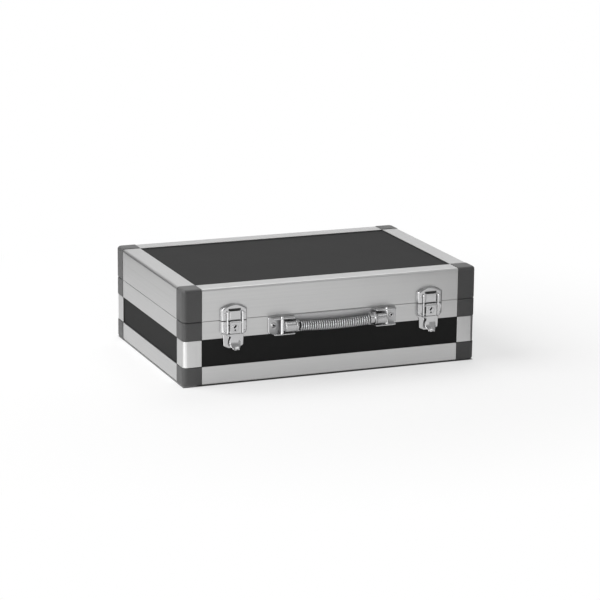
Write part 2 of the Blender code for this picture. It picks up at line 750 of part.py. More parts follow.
def make_hasp(materials):
    """Hasp frame: two side bars, a cross bar over the hook and two pivot stubs."""
    chrome = materials["chrome"]
    inner = HASP_INNER
    outer = inner + HASP_BAR
    top = CHANNEL_TOP_Z - PLATE_ROOT
    cross = top - HASP_BAR
    outline = [(outer, STUB_Z), (outer, top), (-outer, top), (-outer, STUB_Z),
               (-inner, STUB_Z), (-inner, cross), (inner, cross), (inner, STUB_Z)]
    hasp = facing("latch_hasp", [(HASP_OUT, outline), (HASP_OUT + HASP_T, outline)], chrome)
    for side in (-1, 1):
        low = HASP_OUT + HASP_T - PLATE_ROOT
        eye = arc((STUB_OUT, STUB_Z), HASP_EYE_R, 110, 250, 4)
        foot = along_x("foot", [(low, STUB_Z + 2 * CHEEK_R), *eye, (low - HASP_T / 2, STUB_Z - HASP_EYE_R),
                                (low, STUB_Z - CHEEK_R / 2)],
                       side * (inner + PLATE_ROOT / 2), side * (outer - PLATE_ROOT / 2), chrome)
        stub_line = [(STUB_R, side * (LEVER_W / 2 - CHEEK_T)), (STUB_R, side * (inner + HASP_BAR / 2))]
        stub = turned("stub", stub_line, "X", PIN_SIDES, chrome)
        fuse(hasp, foot, moved(stub, (0, -STUB_OUT, STUB_Z)))
    return smooth(hasp)


def make_lock(materials):
    """Lock barrel with its keyhole and the cam behind the lever's face."""
    metal = materials["steel"]
    front = LEVER_OUT + LEVER_T / 2 + LOCK_PROUD
    back = LEVER_OUT - LEVER_T / 2 - GAP - CAM_T
    barrel = turned("lock_barrel", [(LOCK_R, -back), (LOCK_R, -front)], "Y", DRUM_SIDES, metal)
    cam = box("cam", (-CAM_W / 2, -back - CAM_T, -CAM_L), (CAM_W / 2, -back + CAM_T / 4, 0), metal)
    slot = box("slot", (-KEY_W / 2, -front - KEY_DEEP, -KEY_W / 2),
               (KEY_W / 2, -front + KEY_DEEP, KEY_L - KEY_W / 2), metal)
    slot.data.transform(Matrix.Rotation(math.radians(KEY_SLANT), 4, "Y"))
    dot_line = [(KEY_DOT_R, -front - KEY_DEEP), (KEY_DOT_R, -front + KEY_DEEP)]
    dot = turned("dot", dot_line, "Y", DOT_SIDES, metal)
    fuse(barrel, cam)
    cut(barrel, slot, moved(dot, (0, 0, -KEY_DOT_DROP)))
    return smooth(barrel)


def make_lever_pin(materials):
    half = LEVER_W / 2 + GAP + EAR_T
    profile = [(PIN_R - PIN_CHAMFER, -half), (PIN_R, PIN_CHAMFER - half),
               (PIN_R, half - PIN_CHAMFER), (PIN_R - PIN_CHAMFER, half)]
    return turned("latch_lever_pin", profile, "X", PIN_SIDES, materials["steel"])


def make_latches(case, lid, materials):
    """The two latches, each on its own pivots."""
    pieces = {
        "latch_strike": make_strike(materials),
        "latch_plate": make_latch_plate(materials),
        "latch_lever": make_lever(materials),
        "latch_hasp": make_hasp(materials),
        "latch_lever_pin": make_lever_pin(materials),
        "lock_barrel": make_lock(materials),
    }
    height = pivots[lid.name].z
    recentre(pieces["latch_strike"], (0, 0, height))
    recentre(pieces["latch_lever"], (0, -PIVOT_OUT, PIVOT_Z))
    recentre(pieces["latch_hasp"], (0, -STUB_OUT, STUB_Z))
    for side, x in (("left", -LATCH_X), ("right", LATCH_X)):
        face = -CASE_D / 2
        if side == "right":
            pieces = {name: twin(item, name) for name, item in pieces.items()}
        for name, item in pieces.items():
            item.name = f"{name}_{side}"
        lever_at = (x, face - PIVOT_OUT, PIVOT_Z)
        hasp_at = (x, face - STUB_OUT, STUB_Z)
        lever_axis = pivot(f"lever_axis_{side}", lever_at, case)
        hasp_axis = pivot(f"hasp_axis_{side}", hasp_at, lever_axis)
        seat(pieces["latch_strike"], lid, (x, face, height))
        seat(pieces["latch_plate"], case, (x, face, 0))
        seat(pieces["latch_lever"], lever_axis, lever_at)
        seat(pieces["latch_hasp"], hasp_axis, hasp_at)
        seat(pieces["latch_lever_pin"], case, lever_at)
        seat(pieces["lock_barrel"], lever_axis, (x, face, LOCK_Z))


def make_handle_plate(materials):
    """Back plate with two flanges at each end, holes and slots for the pins, and rivets."""
    chrome = materials["chrome"]
    half_l = HANDLE_L / 2
    low = HANDLE_Z - HANDLE_PLATE_H / 2
    high = HANDLE_Z + HANDLE_PLATE_H / 2
    c = HANDLE_CORNER
    right = [(half_l - c, low), (half_l, low + c), (half_l, high - c), (half_l - c, high)]
    outline = right + [(-x, z) for x, z in right[::-1]]
    plate = facing("handle_plate", [(GAP, outline), (PLATE_OUT, outline)], chrome)
    root = PLATE_OUT - PLATE_T / 2
    tip = GRIP_OUT + HANDLE_PIN_R + GAP + PLATE_T
    flange_low = low + PLATE_ROOT
    flange_top = high - PLATE_ROOT
    for side in (-1, 1):
        shape = [(side * BRACKET_X, root), (side * (BRACKET_X - BRACKET_LEAN), tip),
                 (side * BRACKET_TIP_X, tip), (side * BRACKET_ROOT_X, root)]
        upper = upright("flange", shape, flange_top - PLATE_T, flange_top, chrome)
        lower = upright("flange", shape, flange_low, flange_low + PLATE_T, chrome)
        fuse(plate, upper, lower, rivet(side * HANDLE_RIVET_X, HANDLE_Z, HANDLE_RIVET_R, chrome))
    hole_r = HANDLE_PIN_R + GAP
    left = turned("hole", [(hole_r, HANDLE_Z - HANDLE_PLATE_H), (hole_r, HANDLE_Z + HANDLE_PLATE_H)], "Z",
                  PIN_SIDES, chrome)
    near = arc((HANDLE_PIN_X, GRIP_OUT), hole_r, -90, 90, 6)
    far = arc((HANDLE_PIN_X - PIN_SLIDE, GRIP_OUT), hole_r, 90, 270, 6)
    slot = upright("slot", near + far, HANDLE_Z - HANDLE_PLATE_H, HANDLE_Z + HANDLE_PLATE_H, chrome)
    cut(plate, moved(left, (-HANDLE_PIN_X, -GRIP_OUT, 0)), slot)
    return smooth(plate)


def make_handle_end(materials):
    """Right end of the grip: headed pin, eye, drum, collar and its half of the steel strip."""
    chrome = materials["chrome"]
    profile = [(DRUM_R - DRUM_CHAMFER, DRUM_X), (DRUM_R, DRUM_X - DRUM_CHAMFER),
               (DRUM_R, COLLAR_X + COLLAR_CHAMFER), (COLLAR_R, COLLAR_X),
               (COLLAR_R, COLLAR_X - COLLAR_T + COLLAR_CHAMFER), (DRUM_R, COLLAR_X - COLLAR_T)]
    end = turned("handle_end", profile, "X", DRUM_SIDES, chrome)
    eye_round = arc((HANDLE_PIN_X, 0), EYE_R, -90, 90, 6)
    eye = upright("eye", [(DRUM_X - EYE_ROOT, EYE_R), (DRUM_X - EYE_ROOT, -EYE_R), *eye_round],
                  -EYE_H / 2, EYE_H / 2, chrome)
    pin_low = 2 * PLATE_ROOT - HANDLE_PLATE_H / 2
    head_low = HANDLE_PLATE_H / 2 - PLATE_ROOT + GAP
    pin_line = [(HANDLE_PIN_R, pin_low), (HANDLE_PIN_R, head_low), (PIN_HEAD_R, head_low),
                (PIN_HEAD_R * RIVET_CROWN, head_low + PIN_HEAD_H)]
    pin = turned("pin", pin_line, "Z", PIN_SIDES, chrome)
    strap = box("strap", (GAP / 2, -STRAP_T / 2, -STRAP_H / 2), (COLLAR_X, STRAP_T / 2, STRAP_H / 2), chrome)
    fuse(end, eye, moved(pin, (HANDLE_PIN_X, 0, 0)), strap)
    return smooth(end)


def spring_points():
    """Middle line of the grip's spring: a straight end, a bend, the turns, and the same again."""
    radius = SPRING_R - WIRE_R
    bend = 2 * WIRE_R
    straight = 2 * WIRE_R
    half = COLLAR_X - COLLAR_T - GAP
    coil_half = half - straight - bend
    pitch = 2 * coil_half / SPRING_TURNS
    total = SPRING_TURNS * 2 * math.pi
    start_x = -coil_half
    tip = [(-half, -bend / radius), (-half + straight, -bend / radius)]
    bend_steps = 4
    for step in range(1, bend_steps):
        turn = math.pi / 2 * step / bend_steps
        tip.append((start_x - bend * (1 - math.sin(turn)), -bend / radius * math.cos(turn)))
    steps = SPRING_TURNS * SPRING_POINTS
    coil = []
    for step in range(steps + 1):
        coil.append((start_x + pitch * SPRING_TURNS * step / steps, total * step / steps))
    end = [(-x, total - angle) for x, angle in tip[::-1]]
    return [(x, radius * math.sin(angle), radius * math.cos(angle)) for x, angle in tip + coil + end]


def least_gap(line, skip):
    """Least gap between turns of the spring, measured on its points and the middles between them."""
    dense = []
    for first, second in zip(line, line[1:]):
        dense.append(Vector(first))
        dense.append((Vector(first) + Vector(second)) / 2)
    least = math.inf
    for index, point in enumerate(dense):
        for other in dense[index + skip:index + 4 * skip]:
            least = min(least, (point - other).length)
    return least - 2 * WIRE_R


def make_spring(materials):
    """The grip's spring as one unbroken tube."""
    line = spring_points()
    curve = bpy.data.curves.new("handle_spring", "CURVE")
    curve.dimensions = "3D"
    curve.bevel_depth = WIRE_R
    curve.bevel_resolution = 1
    curve.resolution_u = 1
    curve.render_resolution_u = 0
    curve.use_fill_caps = True
    spline = curve.splines.new("POLY")
    spline.points.add(len(line) - 1)
    for point, place in zip(spline.points, line):
        point.co = (*place, 1.0)
    curve.materials.append(materials["chrome"])
    item = bpy.data.objects.new("handle_spring", curve)
    bpy.context.scene.collection.objects.link(item)
    print("handle_spring least gap to itself, mm:", round(least_gap(line, SPRING_POINTS) / MM, 3))
    return item


def make_handle(case, materials):
    """Plate on the front, and the grip in two halves that bow at the middle."""
    face = -CASE_D / 2
    seat(make_handle_plate(materials), case, (0, face, 0))
    left_at = (-HANDLE_PIN_X, face - GRIP_OUT, HANDLE_Z)
    mid_at = (0, face - GRIP_OUT + STRAP_T / 2, HANDLE_Z)
    bow_axis = pivot("handle_bow_axis", left_at, case)
    mid_axis = pivot("handle_mid_axis", mid_at, bow_axis)
    right = make_handle_end(materials)
    right.name = "handle_end_right"
    left = twin(right, "handle_end_left")
    grip_at = (0, face - GRIP_OUT, HANDLE_Z)
    seat(right, mid_axis, grip_at)
    seat(left, bow_axis, grip_at, math.pi)
    seat(make_spring(materials), bow_axis, grip_at)


def hinge_leaf(name, up, knuckles, materials):
    """A hinge leaf with its knuckles, built about the pin, seen from behind the case."""
    metal = materials["steel"]
    sign = 1 if up else -1
    near = KNUCKLE_R + GAP
    half = HINGE_W / 2
    plate = box(name, (-half, -PLATE_OUT, min(sign * near, sign * HINGE_LEAF_H)),
                (half, -GAP, max(sign * near, sign * HINGE_LEAF_H)), metal)
    middle_out = GAP + PLATE_T / 2
    middle_r = HINGE_OUT - middle_out
    for x0, x1 in knuckles:
        curl = arc((HINGE_OUT, 0), middle_r, 180, 180 - KNUCKLE_WRAP, CURL_STEPS)
        line = [(middle_out, -near - 2 * PLATE_T), *curl]
        width = x1 - x0
        knuckle = sheet_strip("knuckle", [(out, -sign * z) for out, z in line], [width] * len(line),
                              PLATE_T - PLATE_ROOT / 2, metal)
        fuse(plate, moved(knuckle, ((x0 + x1) / 2, 0, 0)))
    for x in (-HINGE_W / 3, HINGE_W / 3):
        z = sign * (HINGE_LEAF_H + near) / 2
        fuse(plate, rivet(x, z, RIVET_R, metal))
    return smooth(plate)


def make_hinges(case, lid, materials):
    """Two hinges on the back wall."""
    middle = KNUCKLE_W / 2
    half = HINGE_W / 2
    lower = hinge_leaf("hinge_base_leaf", False, [(-middle, middle)], materials)
    upper = hinge_leaf("hinge_lid_leaf", True, [(-half, -middle - GAP), (middle + GAP, half)], materials)
    profile = [(HINGE_PIN_R - PIN_CHAMFER, -half), (HINGE_PIN_R, PIN_CHAMFER - half),
               (HINGE_PIN_R, half - PIN_CHAMFER), (HINGE_PIN_R - PIN_CHAMFER, half)]
    pin = turned("hinge_pin", profile, "X", PIN_SIDES, materials["steel"])
    pieces = {"hinge_base_leaf": lower, "hinge_lid_leaf": upper, "hinge_pin": pin}
    for side, x in (("left", -HINGE_X), ("right", HINGE_X)):
        if side == "right":
            pieces = {name: twin(item, name) for name, item in pieces.items()}
        for name, item in pieces.items():
            item.name = f"{name}_{side}"
        face_at = (x, CASE_D / 2, HINGE_Z)
        seat(pieces["hinge_base_leaf"], case, face_at, math.pi)
        seat(pieces["hinge_lid_leaf"], lid, face_at, math.pi)
        seat(pieces["hinge_pin"], case, (x, CASE_D / 2 + HINGE_OUT, HINGE_Z))


def build():
    clear_scene()
    materials = make_materials()
    case = pivot("case", (0, 0, 0))
    case.location = (0, SHIFT_Y, 0)
    lid = pivot("lid_axis", (0, CASE_D / 2 + HINGE_OUT, HINGE_Z), case)
    make_frame(case, lid, materials)
    make_corners(case, lid, materials)
    make_boards(case, lid, materials)
    make_foam(case, lid, materials)
    make_latches(case, lid, materials)
    make_handle(case, materials)
    make_hinges(case, lid, materials)


build()
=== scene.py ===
"""Looks of the small flight case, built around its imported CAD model.

Metres, in the frame of that model: +X to the right seen from the handle side,
+Y to the hinges, +Z up, with the floor at 0.
"""
import json
import math

import bmesh
import bpy
from mathutils import Matrix, Vector


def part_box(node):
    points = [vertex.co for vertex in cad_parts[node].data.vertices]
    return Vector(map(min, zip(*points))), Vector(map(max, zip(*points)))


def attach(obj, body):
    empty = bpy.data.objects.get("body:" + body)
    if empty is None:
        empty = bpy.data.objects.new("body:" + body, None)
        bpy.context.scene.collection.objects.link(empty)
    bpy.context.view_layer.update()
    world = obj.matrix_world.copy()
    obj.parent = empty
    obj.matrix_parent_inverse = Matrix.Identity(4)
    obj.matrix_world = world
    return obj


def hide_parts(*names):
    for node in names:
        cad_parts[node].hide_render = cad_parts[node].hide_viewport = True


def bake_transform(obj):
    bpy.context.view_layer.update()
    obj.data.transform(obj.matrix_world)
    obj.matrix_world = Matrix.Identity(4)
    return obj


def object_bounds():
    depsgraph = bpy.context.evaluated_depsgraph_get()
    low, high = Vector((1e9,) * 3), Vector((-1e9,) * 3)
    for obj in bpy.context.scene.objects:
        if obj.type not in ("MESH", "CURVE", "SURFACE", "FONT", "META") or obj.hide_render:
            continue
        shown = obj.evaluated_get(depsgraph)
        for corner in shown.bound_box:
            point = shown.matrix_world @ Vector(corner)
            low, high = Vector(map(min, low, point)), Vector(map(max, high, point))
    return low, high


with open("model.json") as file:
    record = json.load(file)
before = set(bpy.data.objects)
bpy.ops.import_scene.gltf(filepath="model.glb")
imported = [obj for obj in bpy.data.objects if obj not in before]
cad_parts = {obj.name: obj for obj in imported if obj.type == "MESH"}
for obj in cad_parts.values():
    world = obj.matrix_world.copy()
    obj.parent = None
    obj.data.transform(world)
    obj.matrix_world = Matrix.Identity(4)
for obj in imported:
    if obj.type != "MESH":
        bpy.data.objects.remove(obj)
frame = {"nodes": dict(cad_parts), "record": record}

MM = 0.001
CAD_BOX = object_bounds()

# Camera, fitted to the corners and edges of the case in the photograph
CAMERA_AZIMUTH = -21.905       # degrees to the right of straight from the front
CAMERA_ELEVATION = 14.078      # degrees over the horizon
CAMERA_ROLL = 0.579            # degrees
CAMERA_DISTANCE = 2.7712
CAMERA_ASIDE = 6.3 * MM        # of the case's middle, along the picture
CAMERA_ABOVE = 3.1 * MM
SENSOR = 36.0
LENS = 143.26

# Light
FLOOR_SIZE = 60.0
FLOOR_GLOW = 0.61              # white that the floor shows by itself near the case
FLOOR_GREY = 0.41              # and the share of light that it is seen to give back
WHITE_FROM = 0.24              # further out the floor turns to plain white
WHITE_AT = 0.6
FLOOR_BOUNCE = 0.7             # share of light that it throws back onto the case
UNDER_LIFT = 0.02 * MM         # of the sheet right under the case
FILL = 0.25                    # world's light on matt surfaces
SKY_LOW = 0.2                  # heights of the sky, as sines, where mirrors start and stop seeing it darken
SKY_HIGH = 0.5
SKY_DARK = 0.38
KEY_AT = (-1.6, 0.5, 1.9)      # soft lamp to the left, a little behind the case
KEY_SIZE = 1.7
KEY_POWER = 44.0
LOW_AT = (-1.7, -0.75, 0.42)   # small one low at the left front, which only mirrors see
LOW_SIZE = 0.8
LOW_POWER = 14.0
CARDS = (                      # cards that only mirrors see: two ends, height and grey
    ((0.215, -0.17), (0.215, 0.25), 0.09, 0.4),
    ((0.27, -0.6), (0.3, -0.2), 0.3, 0.68),
    ((-0.75, 0.2), (-0.25, 0.75), 0.4, 0.35),
)
SHINES = (                     # bright sheets for mirrors: two corners and the height
    ((-0.85, -0.34), (-0.16, -0.1), 0.0002),
    ((0.2, -1.0), (0.75, -0.5), 1.1),
)
SHINE_LEVEL = 1.7
TOP_AT = (0.7, 1.5, 2.2)       # weaker one high behind the case
TOP_SIZE = 1.6
TOP_POWER = 17.0
LAMPS_AIM = (0, 0, 0.05)       # what all lamps point at

# Edges
WELD = 0.002 * MM
EDGE_SOFT = {"aluminium": 0.3 * MM, "corner_plastic": 0.4 * MM, "laminate": 0.2 * MM, "chrome": 0.15 * MM,
             "steel": 0.12 * MM}
POST_SOFT = 0.65 * MM
SHARP = math.radians(32)       # edges that are rounded
SHADE_SHARP = math.radians(50)    # and edges that are shaded as sharp
FLAT = math.radians(0.5)
TOUCH = 0.01 * MM              # how near a face's middle has to be to a place
BITE = 0.1 * MM                # how far a piece's parts reach into each other, and a margin for faces
ODD_WAY = (0.31, 0.77, 0.55)   # a direction that no bar runs in
NOISE_SPAN = (0.3, 0.7)        # where most values of a noise lie

# Latches: x from the latch's middle, out from the case's front face, z from the floor
NODE_GAP = 0.3 * MM
PLATE_OUT = 1.5 * MM
SHEET_SOFT = 0.3 * MM
ROOT_OUT = PLATE_OUT - SHEET_SOFT    # where what stands on a plate starts
LATCH_HALF = 15.75 * MM
HOOD_LOW = 73.6 * MM
HOOD_SPRING = 86.0 * MM
HOOD_TOP = 91.5 * MM
HOOD_OUT = 5.0 * MM
HOOD_SLOPE = 3.4 * MM          # how far its rounded side runs in from the edge
HOOD_CROWN = 1.1 * MM          # and its rounded top
CHANNEL_HALF = 9.9 * MM
CHANNEL_TOP = 84.1 * MM
CHANNEL_ROUND = 1.0 * MM
SLOT_TOP = 86.4 * MM           # slot over the hook, darkened with painted shade
SLOT_HALF = 6.9 * MM
HOOK_HALF = 6.6 * MM
HOOK_OUT = 5.8 * MM
HOOK_LOW = 74.2 * MM
HOOK_TOP = 84.0 * MM
HOOK_SOFT = (1.5 * MM, 0.3 * MM, 0.4 * MM)    # rounding of its sides, its foot and its top
HOOK_RISE = 1.2 * MM
ASIDE = 0.75 * MM              # of the hook and the lever, to the right
STRIKE_RIVET = (11.4 * MM, 81.0 * MM, 0.45 * MM)    # aside, z and height
# thickness of the sheet of painted shade at the back of the slot
SLOT_SHADE_SHEET = 0.12 * MM
BED_OUT = 4.4 * MM             # bed of the gaps beside the hook and the lever
BED = (5.3 * MM, 9.85 * MM)
PLATE_TOP = 72.4 * MM
WING_LOW = 57.2 * MM
WING_TURN = 4.2 * MM           # size of the wing's curve at its lower end
WING_RISE = 2.2 * MM           # and how far that end's rounded side runs up
PLATE_RIVET = (11.6 * MM, 61.0 * MM, 0.5 * MM, 0.4 * MM)    # and the radius of its hole
SMALL_RIVET_R = 1.25 * MM
BOSS_Z = 68.2 * MM             # round swelling beside the lever's pin
BOSS_R = 4.0 * MM
BOSS_H = 0.2 * MM
SHOULDER = ((0.35 * MM, 0.5), (1.2 * MM, 0.1))    # in from the plate's side, share of the wing's curve
SHOULDER_DROP = 0.8 * MM
FOOT_HALF = 12.3 * MM
FOOT_TAPER = 0.6 * MM
FOOT_LOW = 41.0 * MM
FOOT_CUT = (5.5 * MM, 3.4 * MM)
FOOT_KINK = (0.5 * MM, 0.9 * MM)
FOOT_SOFT = 1.1 * MM
PIVOT = (4.2 * MM, 70.3 * MM)  # out and z of the lever's pin
PIN_R = 1.0 * MM
PIN_END = ((1.0, 0.4 * MM), (0.8, 0.12 * MM), (0.3, 0.0))    # share of its radius, back from its end
EAR = (7.0 * MM, 8.0 * MM, 2.2 * MM)    # beside the lever's curl: inner and outer face, and radius
LEVER_T = 1.0 * MM
LEVER_HALF = 6.6 * MM
LEVER_OUT = 6.4 * MM           # middle of the face's sheet
LEVER_CURL = 2.2 * MM
LEVER_WRAP = 235
NECK_Z = 58.4 * MM             # where the face steps back to the tab
NECK_LINE = (                  # back from the face, up from the neck, share of the face's half width
    (0.0, 7.6 * MM, 1.0),
    (0.0, 1.1 * MM, 1.0),
    (0.1 * MM, 0.7 * MM, 1.0),
    (0.5 * MM, 0.3 * MM, 1.0),
    (0.95 * MM, 0.0, 0.96),
)
LEVER_ROLL = 1.5 * MM          # how far its long edges are rolled back
STEP_SHADE = (6.0 * MM, 57.8 * MM, 58.6 * MM, 6.05 * MM)    # painted shade line under the step of the lever
TAB_HALF = 6.3 * MM
TAB_LINE = (                   # out, z, share of the tab's half width, dish, ridge: all but the share in mm
    (5.0, 56.8, 0.92, 0.0, 0.0),
    (4.95, 54.5, 0.82, 0.1, 0.0),
    (5.0, 53.0, 0.85, 0.4, 0.0),
    (5.2, 51.5, 0.95, 1.0, 0.1),
    (5.6, 49.8, 1.0, 1.6, 1.3),
    (6.2, 47.9, 1.0, 1.9, 1.2),
    (7.0, 46.1, 0.97, 1.8, 1.0),
    (7.8, 44.4, 0.88, 1.5, 0.7),
    (8.5, 43.0, 0.74, 0.9, 0.2),
    (9.0, 41.9, 0.62, 0.4, -0.3),
    (9.6, 41.3, 0.58, 0.2, -0.7),
    (10.3, 41.2, 0.5, 0.2, -0.7),
)
RIDGE = (0.25, 0.22)           # middle and width of the tab's ridge, as shares of its half width
CHEEK_R = 1.8 * MM
LOCK_Z = 65.0 * MM
LOCK_R = 4.1 * MM
LOCK_PROUD = 0.12 * MM
LOCK_BACK = 4.2 * MM
LOCK_FIT = 0.08 * MM
LOCK_EDGE = ((0.0, 0.15 * MM), (0.05 * MM, 0.05 * MM), (0.2 * MM, 0.0))    # in from side, back from front
KEY_HALF = (1.0 * MM, 2.2 * MM)
KEY_UP = 1.45 * MM
KEY_SLANT = math.radians(37)
KEY_DOT = (1.0 * MM, -2.45 * MM)
KEY_DEEP = 2.0 * MM
CAM = (1.5 * MM, -5.1 * MM, 0.5 * MM)    # half width, and its ends under and over the barrel's middle
HASP_X = 9.0 * MM
HASP_R = 0.92 * MM
HASP_OUT = 6.5 * MM
HASP_CROSS = (2.7 * MM, 85.0 * MM)
HASP_BEND_Z = 82.9 * MM        # where the side bars bend back under the hood
HASP_BEND = 1.1 * MM
STUB = (3.7 * MM, 57.0 * MM)

# Handle, measured from the case's middle and its front face
HANDLE_HALF = 77.2 * MM
HANDLE_Z = 62.75 * MM
HANDLE_HIGH = 9.75 * MM        # half the plate's height
HANDLE_CUT = 2.2 * MM
HANDLE_SOFT = 0.9 * MM
BRACKET_X = 74.9 * MM          # outer end of a flange, at the plate
BRACKET_LEAN = 1.1 * MM        # and how far it leans in to the front
BRACKET_T = 1.2 * MM
BRACKET_TIP = (48.5 * MM, 12.0 * MM)
BRACKET_ROOT = 46.5 * MM
BRACKET_SOFT = 0.45 * MM
BRACKET_ROUND = 3.2 * MM       # rounding of its outer front corner at the right end
BRACKET_CUT = (0.6 * MM, 0.8 * MM)    # its outer corner at the left end, and its tip's at both
BRACKET_SINK = 0.4 * MM
BRACKET_IN = 0.2 * MM          # from the plate's upper and lower edge
EAR_RIVET = (71.1 * MM, 3.0 * MM, 0.9 * MM)    # aside, radius and height
RIVET_HOLE = 1.3 * MM
GRIP_OUT = 9.0 * MM
FITTING_Z = HANDLE_Z - 0.3 * MM
DROOP = (0.8 * MM, 1.9 * MM)   # of the spring: at its ends, and the rest in the middle
GRIP_PIN = (63.0 * MM, 1.75 * MM)
PIN_ASIDE = -0.5 * MM          # both pins, to the left
PIN_HEAD = (1.9 * MM, 1.5 * MM)
EYE_HALF = 4.5 * MM
EYE_R = 1.8 * MM
DRUM = (61.1 * MM, 6.9 * MM)
DRUM_SOFT = 1.3 * MM
COLLAR = (48.0 * MM, 7.4 * MM, 2.2 * MM)
COLLAR_SOFT = 0.9 * MM
STRIP = (1.5 * MM, 6.6 * MM)
STRIP_CUT = 0.3 * MM
STRIP_STATIONS = 41
SLEEVE_R = 5.7 * MM            # of the smooth ends of the grip
SLEEVE_CUT = 0.4 * MM
WIRE_R = 0.95 * MM
SPRING_R = 4.9 * MM            # of the wire's middle
SPRING_BACK = 0.45             # flattening of its back
SPRING_ENDS = (-43.8 * MM, 39.8 * MM)
BOW_REACH = 45.5 * MM
SPRING_TURNS = 31
TURN_POINTS = 26
WIRE_SIDES = 10

# Foam
PAD_WAVE = 28.0 * MM
PAD_DEEP = 4.0 * MM
PAD_STEP = 3.5 * MM
FOAM_SOFT = 1.6 * MM

SLOT_OF = {part["node"]: part["material_slot"] for part in frame["record"]["subparts"]}
BODY_OF = {node: body for body, nodes in frame["record"]["behaviour"]["bodies"].items() for node in nodes}


def new_material(name, colour, roughness, metallic=0.0, specular=0.5):
    """A material, and its one shader."""
    material = bpy.data.materials.new(name)
    material.use_nodes = True
    shader = material.node_tree.nodes["Principled BSDF"]
    for socket, value in (("Base Color", (*colour, 1.0)), ("Roughness", roughness),
                          ("Metallic", metallic), ("Specular IOR Level", specular)):
        shader.inputs[socket].default_value = value
    return material, shader


def bare_material(name):
    """A material without a shader, its node tree, and the socket for its surface."""
    material = bpy.data.materials.new(name)
    material.use_nodes = True
    tree = material.node_tree
    tree.nodes.clear()
    return material, tree, add_node(tree, "ShaderNodeOutputMaterial").inputs["Surface"]


def add_node(tree, kind, values=None, **settings):
    """A node with the values of its sockets, and its settings."""
    node = tree.nodes.new(kind)
    for key, value in settings.items():
        setattr(node, key, value)
    for key, value in (values or {}).items():
        node.inputs[key].default_value = value
    return node


def remap(tree, source, before, after, **settings):
    """A value moved from one range to another."""
    node = add_node(tree, "ShaderNodeMapRange", {"From Min": before[0], "From Max": before[1],
                                                 "To Min": after[0], "To Max": after[1]}, **settings)
    tree.links.new(source, node.inputs["Value"])
    return node.outputs["Result"]


def stretched_noise(shader, scale, detail=3.0, rough=0.6):
    """Noise over the object's own place, at so many waves per metre along each axis."""
    tree = shader.id_data
    place = add_node(tree, "ShaderNodeTexCoord")
    mapping = add_node(tree, "ShaderNodeMapping", {"Scale": scale})
    noise = add_node(tree, "ShaderNodeTexNoise", {"Scale": 1.0, "Detail": detail, "Roughness": rough})
    tree.links.new(place.outputs["Object"], mapping.inputs["Vector"])
    tree.links.new(mapping.outputs["Vector"], noise.inputs["Vector"])
    return noise.outputs["Fac"]


def vary_roughness(shader, noise, low, high):
    tree = shader.id_data
    tree.links.new(remap(tree, noise, NOISE_SPAN, (low, high)), shader.inputs["Roughness"])


def vary_colour(shader, noise, dark, pale):
    """Colours between two greys, each given as one level or as three."""
    tree = shader.id_data
    ramp = add_node(tree, "ShaderNodeValToRGB")
    for element, place, level in zip(ramp.color_ramp.elements, NOISE_SPAN, (dark, pale)):
        element.position = place
        element.color = (*(level if isinstance(level, tuple) else (level,) * 3), 1.0)
    tree.links.new(noise, ramp.inputs["Fac"])
    tree.links.new(ramp.outputs["Color"], shader.inputs["Base Color"])


def roughen(shader, noise, strength, depth):
    """Bump from a noise."""
    tree = shader.id_data
    bump = add_node(tree, "ShaderNodeBump", {"Strength": strength, "Distance": depth})
    tree.links.new(noise, bump.inputs["Height"])
    tree.links.new(bump.outputs["Normal"], shader.inputs["Normal"])


def brushed_aluminium(name, run):
    """Satin aluminium with its drawing lines along one axis, 0 to 2."""
    material, shader = new_material(name, (0.53,) * 3, 0.36, 1.0)
    fine = [2600.0] * 3
    fine[run] = 9.0
    broad = [420.0] * 3
    broad[run] = 2.0
    lines = stretched_noise(shader, fine)
    bands = stretched_noise(shader, broad, 2.0)
    vary_roughness(shader, lines, 0.33, 0.41)
    vary_colour(shader, bands, 0.522, (0.545, 0.545, 0.543))
    roughen(shader, lines, 0.07, 0.03 * MM)
    return material


def moulded_plastic():
    material, shader = new_material("moulded_grey_plastic", (0.115,) * 3, 0.5, specular=0.35)
    grain = stretched_noise(shader, (1500.0,) * 3)
    vary_roughness(shader, stretched_noise(shader, (60.0,) * 3, 2.0), 0.46, 0.56)
    vary_colour(shader, grain, 0.105, 0.125)
    roughen(shader, grain, 0.25, 0.05 * MM)
    return material


def black_laminate():
    material, shader = new_material("black_laminate", (0.033,) * 3, 0.58, specular=0.04)
    grain = stretched_noise(shader, (1100.0,) * 3, 4.0)
    vary_roughness(shader, stretched_noise(shader, (25.0,) * 3), 0.575, 0.59)
    vary_colour(shader, grain, 0.031, 0.035)
    roughen(shader, grain, 0.2, 0.04 * MM)
    return material


def bright_chrome(name="bright_chrome", base=0.52, clear=0.13, dull=0.2):
    """Chrome plate, with how far its roughness goes from clear to dull."""
    material, shader = new_material(name, (base, base, base + 0.005), clear, 1.0)
    vary_roughness(shader, stretched_noise(shader, (180.0,) * 3), clear, dull)
    roughen(shader, stretched_noise(shader, (320.0,) * 3, 2.0), 0.15, 0.08 * MM)
    return material


def plated_steel():
    material, shader = new_material("plated_steel", (0.47, 0.47, 0.475), 0.3, 1.0)
    grain = stretched_noise(shader, (900.0, 60.0, 900.0))
    vary_roughness(shader, grain, 0.22, 0.38)
    roughen(shader, grain, 0.15, 0.04 * MM)
    return material


def painted_shade_steel():
    """Dark, rough steel whose colour is painted shade, for narrow gaps and bars that lie in shade."""
    material, shader = new_material("painted_shade_steel", (0.09,) * 3, 0.55, 0.8)
    vary_colour(shader, stretched_noise(shader, (700.0,) * 3), 0.07, 0.12)
    return material


def painted_hole_shade():
    """Painted shade inside a keyhole or a rivet's hole, where hardly any light comes back."""
    material, shader = new_material("painted_hole_shade", (0.012,) * 3, 0.7, 0.6, 0.1)
    vary_colour(shader, stretched_noise(shader, (2200.0,) * 3, 2.0), 0.008, 0.02)
    return material


